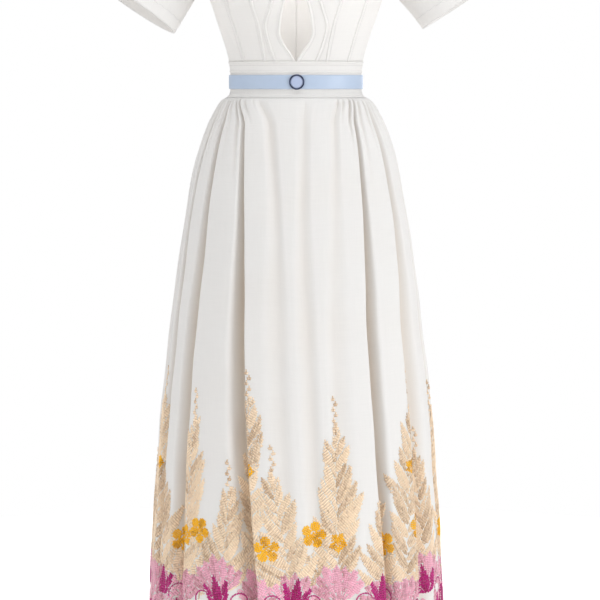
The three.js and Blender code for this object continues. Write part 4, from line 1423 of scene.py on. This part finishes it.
class HemCloth:
    """The flat cloth of the hem: distance along it against the skirt's columns."""

    def __init__(self):
        column = np.linspace(0, FOLD_COUNT, MEASURING_POINTS)
        line = skirt_points(column, np.full(column.shape, HEM_DROP - MEASURED_RISE))
        self.column = column
        self.distance = arc_lengths(line[:, None], 0)[:, 0]
        self.width = float(self.distance[-1])

    def place(self, along, height):
        """Point, upward and sideways directions and outward normal on the hanging skirt."""
        column = np.interp(along % self.width, self.distance, self.column)
        drop = HEM_DROP - height
        here = skirt_points(column, drop)
        up = unit(skirt_points(column, drop - SMALL_STEP) - here)
        side = unit(skirt_points(column + SMALL_STEP, drop) - here)
        return here, up, side, unit(np.cross(side, up))


def make_border():
    """The border's beads on the hanging skirt, one piece for each colour at the front and back."""
    sizes = bpy.context.scene.gown_sizes
    colours = bpy.context.scene.gown_colours
    cloth = HemCloth()
    border = Border(sizes.seed + 20)
    fill_border(border, cloth.width)
    beads = border.laid(cloth.width)
    point, up, side, out = cloth.place(beads[:, 0], beads[:, 1])
    lean = (beads[:, 2] + border.draw.normal(0, BEAD_TURN, len(beads)))[:, None]
    long_axis = unit(np.cos(lean) * up + np.sin(lean) * side)
    scale = border.draw.uniform(*BEAD_SCALES, (len(beads), 1))
    for kind, (colour, (long, wide, sides)) in enumerate(BEADS.items()):
        material = bead_material(f"{colour}_beads", tuple(getattr(colours, colour)))
        for part, faces_front in (("front", True), ("back", False)):
            mine = (beads[:, 5] == kind) & ((point[:, 1] < 0) == faces_front)
            dims = scale[mine] * sizes.bead_size * np.array([long, wide, BEAD_HEIGHT])
            piece = lens_beads(
                f"hem_beads_{colour}_{part}", point[mine], long_axis[mine], out[mine], dims,
                beads[mine, 3], sides)
            finish_piece(piece, material)


# Topstitching


STITCH_GAP = 0.0009
STITCH_WIDTH = 0.0007
STITCH_HEIGHT = 0.0005
# Stitches lie this far over the cloth's even surface
STITCH_LIFT = 0.0001
# Where they run: how far from a panel's welted seam, how far inside the cuff's hem, and the rises
# of the two lines on the waistband
BESIDE_WELT = 0.0072
INSIDE_CUFF_HEM = 0.001
BAND_LINES = (0.0300, -0.0200)


def stitch_line(points, outward, length):
    """Stitches at even steps along a line of points: middles, directions and normals."""
    travel = arc_lengths(points[:, None], 0)[:, 0]
    at = np.arange(length / 2, travel[-1], length + STITCH_GAP)

    def along_line(values, places):
        return np.stack([np.interp(places, travel, values[:, k]) for k in range(3)], 1)

    along = unit(along_line(points, at + length / 2) - along_line(points, at - length / 2))
    normal = along_line(outward, at)
    normal = unit(normal - along * np.sum(normal * along, 1, keepdims=True))
    return along_line(points, at), along, normal


def make_stitches(name, lines):
    """All the stitches of some lines as one piece."""
    sizes = bpy.context.scene.gown_sizes
    parts = [stitch_line(points, outward, sizes.stitch) for points, outward in lines]
    middles, along, normal = (np.concatenate(p) for p in zip(*parts))
    dims = np.tile(np.array([sizes.stitch, STITCH_WIDTH, STITCH_HEIGHT]), (len(middles), 1))
    piece = lens_beads(name, middles, along, normal, dims, np.ones(len(middles)))
    return finish_piece(piece, material_named("white_thread"))


# Stage


FLOOR_GAP = 0.012
FLOOR_GLOW = 0.2
FLOOR_RADIUS = 1.7
FLOOR_SIDES = 96
FLOOR_COLOUR = (0.95, 0.93, 0.90, 1)


def make_floor():
    """A pale round floor a little under the hem."""
    e = np.arange(FLOOR_SIDES)
    turn = 2 * np.pi * e / FLOOR_SIDES
    level = BELT_LEVEL - HEM_DROP - FLOOR_GAP
    x, y = FLOOR_RADIUS * np.cos(turn), FLOOR_RADIUS * np.sin(turn)
    rim = np.stack([x, y, np.full(FLOOR_SIDES, level)], 1)
    points = np.concatenate([rim, [[0, 0, level]]])
    faces = np.stack([e, (e + 1) % FLOOR_SIDES, np.full(FLOOR_SIDES, FLOOR_SIDES)], 1)
    floor = new_mesh("floor", points, faces)
    material, _, _, shader = new_material("pale_floor")
    set_values(shader, {
        "Base Color": FLOOR_COLOUR, "Roughness": 0.9, "Emission Color": (1, 1, 1, 1),
        "Emission Strength": FLOOR_GLOW})
    floor.data.materials.append(material)


LIGHT_TINT = (0.945, 0.972, 1.0)
# Soft round lights: name, place, size, power. The last one lights the inside of the bodice.
LIGHTS = [
    ("key_light", (3.3, -2.1, -0.35), 1.8, 70),
    ("fill_light", (-3.2, -2.2, -0.6), 2.4, 30),
    ("top_light", (0.0, -0.9, 2.6), 2.2, 42),
    ("back_light", (0.6, 3.4, -0.2), 2.4, 34),
    ("inner_light", (0.0, -0.02, -0.06), 0.10, 0.38),
]
WORLD_LIGHT = 0.72
LIT_POINT = (0, 0, -0.75)


def aim(thing, target):
    """Turns a camera or a light so that it looks at a point."""
    way = Vector(target) - thing.location
    thing.rotation_euler = way.to_track_quat("-Z", "Y").to_euler()


def make_lights():
    """The lights, and a world that lights the gown but is seen as plain white."""
    scene = bpy.context.scene
    for name, place, size, power in LIGHTS:
        data = bpy.data.lights.new(name, "AREA")
        data.shape = "DISK"
        data.size = size
        data.energy = power
        data.color = LIGHT_TINT
        lamp = bpy.data.objects.new(name, data)
        lamp.location = place
        lamp.visible_camera = False
        aim(lamp, LIT_POINT)
        scene.collection.objects.link(lamp)
    world = bpy.data.worlds.new("studio")
    world.use_nodes = True
    scene.world = world
    nodes, links = world.node_tree.nodes, world.node_tree.links
    seen = nodes["Background"]
    set_values(seen, {"Color": (1, 1, 1, 1), "Strength": 1.0})
    lit = nodes.new("ShaderNodeBackground")
    set_values(lit, {"Color": (*LIGHT_TINT, 1), "Strength": WORLD_LIGHT})
    rays = nodes.new("ShaderNodeLightPath")
    both = nodes.new("ShaderNodeMixShader")
    links.new(rays.outputs["Is Camera Ray"], both.inputs["Fac"])
    links.new(lit.outputs["Background"], both.inputs[1])
    links.new(seen.outputs["Background"], both.inputs[2])
    links.new(both.outputs["Shader"], nodes["World Output"].inputs["Surface"])
    scene.view_settings.view_transform = "Standard"


SENSOR_WIDTH = 36.0


def make_camera():
    """The camera stands level with the belt, looks a little down and takes the photo's width."""
    data = bpy.data.cameras.new("photo_camera")
    data.sensor_width = SENSOR_WIDTH
    data.lens = SENSOR_WIDTH * CAMERA_DISTANCE / (PHOTO_WIDTH * METRES_PER_PIXEL)
    camera = bpy.data.objects.new("photo_camera", data)
    across = (PHOTO_CENTRE[0] - BELT_PIXEL[0]) * METRES_PER_PIXEL
    below = (PHOTO_CENTRE[1] - BELT_PIXEL[1]) * METRES_PER_PIXEL
    camera.location = (across, -CAMERA_DISTANCE, BELT_LEVEL)
    aim(camera, (across, 0, BELT_LEVEL - below))
    bpy.context.scene.collection.objects.link(camera)
    bpy.context.scene.camera = camera


# Operators


BACK_COLUMNS = 72
# Stretches of the waistband: first and last quarter turn, columns and cut
WAISTBANDS = {
    "waistband_front": (-1, 1, 110, "waistband_front"),
    "waistband_back_left": (1, 2, 56, "waistband_back"),
    "waistband_back_right": (2, 3, 56, "waistband_back"),
}
BAND_LINE_POINTS = 361
# Panels of the skirt: first and last seam, and columns
SKIRT_PANELS = {
    "skirt_front": (SEAM_RIGHT, SEAM_LEFT, 370),
    "skirt_back_left": (SEAM_LEFT, SEAM_BACK, 150),
    "skirt_back_right": (SEAM_BACK, SEAM_RIGHT + FOLD_COUNT, 180),
}
SKIRT_ROWS = 100


class GownOperator(bpy.types.Operator):
    """A step in making the gown, which can be undone"""
    bl_options = {"REGISTER", "UNDO"}


class GOWN_OT_bodice(GownOperator):
    """Make the panels of the bodice"""
    bl_idname = "gown.bodice"
    bl_label = "Bodice"

    def execute(self, context):
        lines = []
        for side, sign in (("left", 1), ("right", -1)):
            for name, (start, stop, columns) in FRONT_STRIPS.items():
                piece, plain, outward = bodice_panel(
                    f"{name}_{side}", sign, start, stop, columns)
                beside = np.argmin(np.abs(arc_lengths(plain, 0) - BESIDE_WELT), axis=0)
                rows = np.arange(plain.shape[1])
                normal = outward[beside, rows]
                lines.append((plain[beside, rows] + STITCH_LIFT * normal, normal))
            piece, _, _ = bodice_panel(
                f"bodice_back_{side}", sign, seam_turn(CENTRE_BACK), armhole_turn,
                BACK_COLUMNS, back=True, welted=False)
        make_stitches("bodice_topstitching", lines)
        return {"FINISHED"}


class GOWN_OT_sleeves(GownOperator):
    """Make the two sleeves"""
    bl_idname = "gown.sleeves"
    bl_label = "Sleeves"

    def execute(self, context):
        lines = []
        for side in SLEEVES:
            piece, outer, outward, from_cuff = make_sleeve(side)
            nearest = np.argmin(np.abs(from_cuff - CUFF_HEM + INSIDE_CUFF_HEM), axis=1)
            ring = np.append(np.arange(SLEEVE_COLUMNS), 0)
            nearest = np.append(nearest, nearest[0])
            lines.append((outer[ring, nearest], outward[ring, nearest]))
        make_stitches("cuff_topstitching", lines)
        return {"FINISHED"}


class GOWN_OT_waist(GownOperator):
    """Make the waistband, the belt and its buckle"""
    bl_idname = "gown.waist"
    bl_label = "Waistband and belt"

    def execute(self, context):
        quarter = np.pi / 2
        for name, (first, last, columns, cut) in WAISTBANDS.items():
            make_band(name, first * quarter, last * quarter, columns)
        lines = []
        for rise in BAND_LINES:
            line = band_grid(0, 4 * quarter, BAND_LINE_POINTS, np.array([rise]), STITCH_LIFT)[:, 0]
            lines.append((line, unit(line * np.array([1, 1, 0]))))
        make_stitches("waistband_topstitching", lines)
        make_belt()
        make_buckle_ring()
        make_buckle_disc()
        return {"FINISHED"}


class GOWN_OT_skirt(GownOperator):
    """Make the gathered panels of the skirt"""
    bl_idname = "gown.skirt"
    bl_label = "Skirt"

    def execute(self, context):
        for name, (first, last, columns) in SKIRT_PANELS.items():
            make_skirt_panel(name, first, last, columns, SKIRT_ROWS)
        return {"FINISHED"}


class GOWN_OT_border(GownOperator):
    """Make the beaded border of the hem"""
    bl_idname = "gown.border"
    bl_label = "Beaded border"

    def execute(self, context):
        make_border()
        return {"FINISHED"}


class GOWN_OT_stage(GownOperator):
    """Make the floor, the lights and the camera"""
    bl_idname = "gown.stage"
    bl_label = "Stage"

    def execute(self, context):
        make_floor()
        make_lights()
        make_camera()
        return {"FINISHED"}


class GOWN_PT_panel(bpy.types.Panel):
    """Sizes, colours and the steps that make the gown"""
    bl_idname = "GOWN_PT_panel"
    bl_label = "Gown"
    bl_space_type = "VIEW_3D"
    bl_region_type = "UI"
    bl_category = "Gown"

    def draw(self, context):
        for group in (context.scene.gown_sizes, context.scene.gown_colours):
            box = self.layout.box()
            for key in group.__annotations__:
                box.prop(group, key)
        for step in STEPS:
            self.layout.operator(step.bl_idname)


STEPS = (
    GOWN_OT_stage, GOWN_OT_skirt, GOWN_OT_bodice, GOWN_OT_sleeves, GOWN_OT_waist, GOWN_OT_border,
)
CLASSES = (GownSizes, GownColours, *STEPS, GOWN_PT_panel)


def register():
    """Adds the classes and the scene's sizes and colours."""
    for made in CLASSES:
        bpy.utils.register_class(made)
    bpy.types.Scene.gown_sizes = PointerProperty(type=GownSizes)
    bpy.types.Scene.gown_colours = PointerProperty(type=GownColours)


def unregister():
    """Takes away what register added."""
    del bpy.types.Scene.gown_colours
    del bpy.types.Scene.gown_sizes
    for made in reversed(CLASSES):
        bpy.utils.unregister_class(made)


def main():
    """Runs all the steps."""
    register()
    for step in STEPS:
        group, name = step.bl_idname.split(".")
        getattr(getattr(bpy.ops, group), name)()


if __name__ == "__main__":
    main()
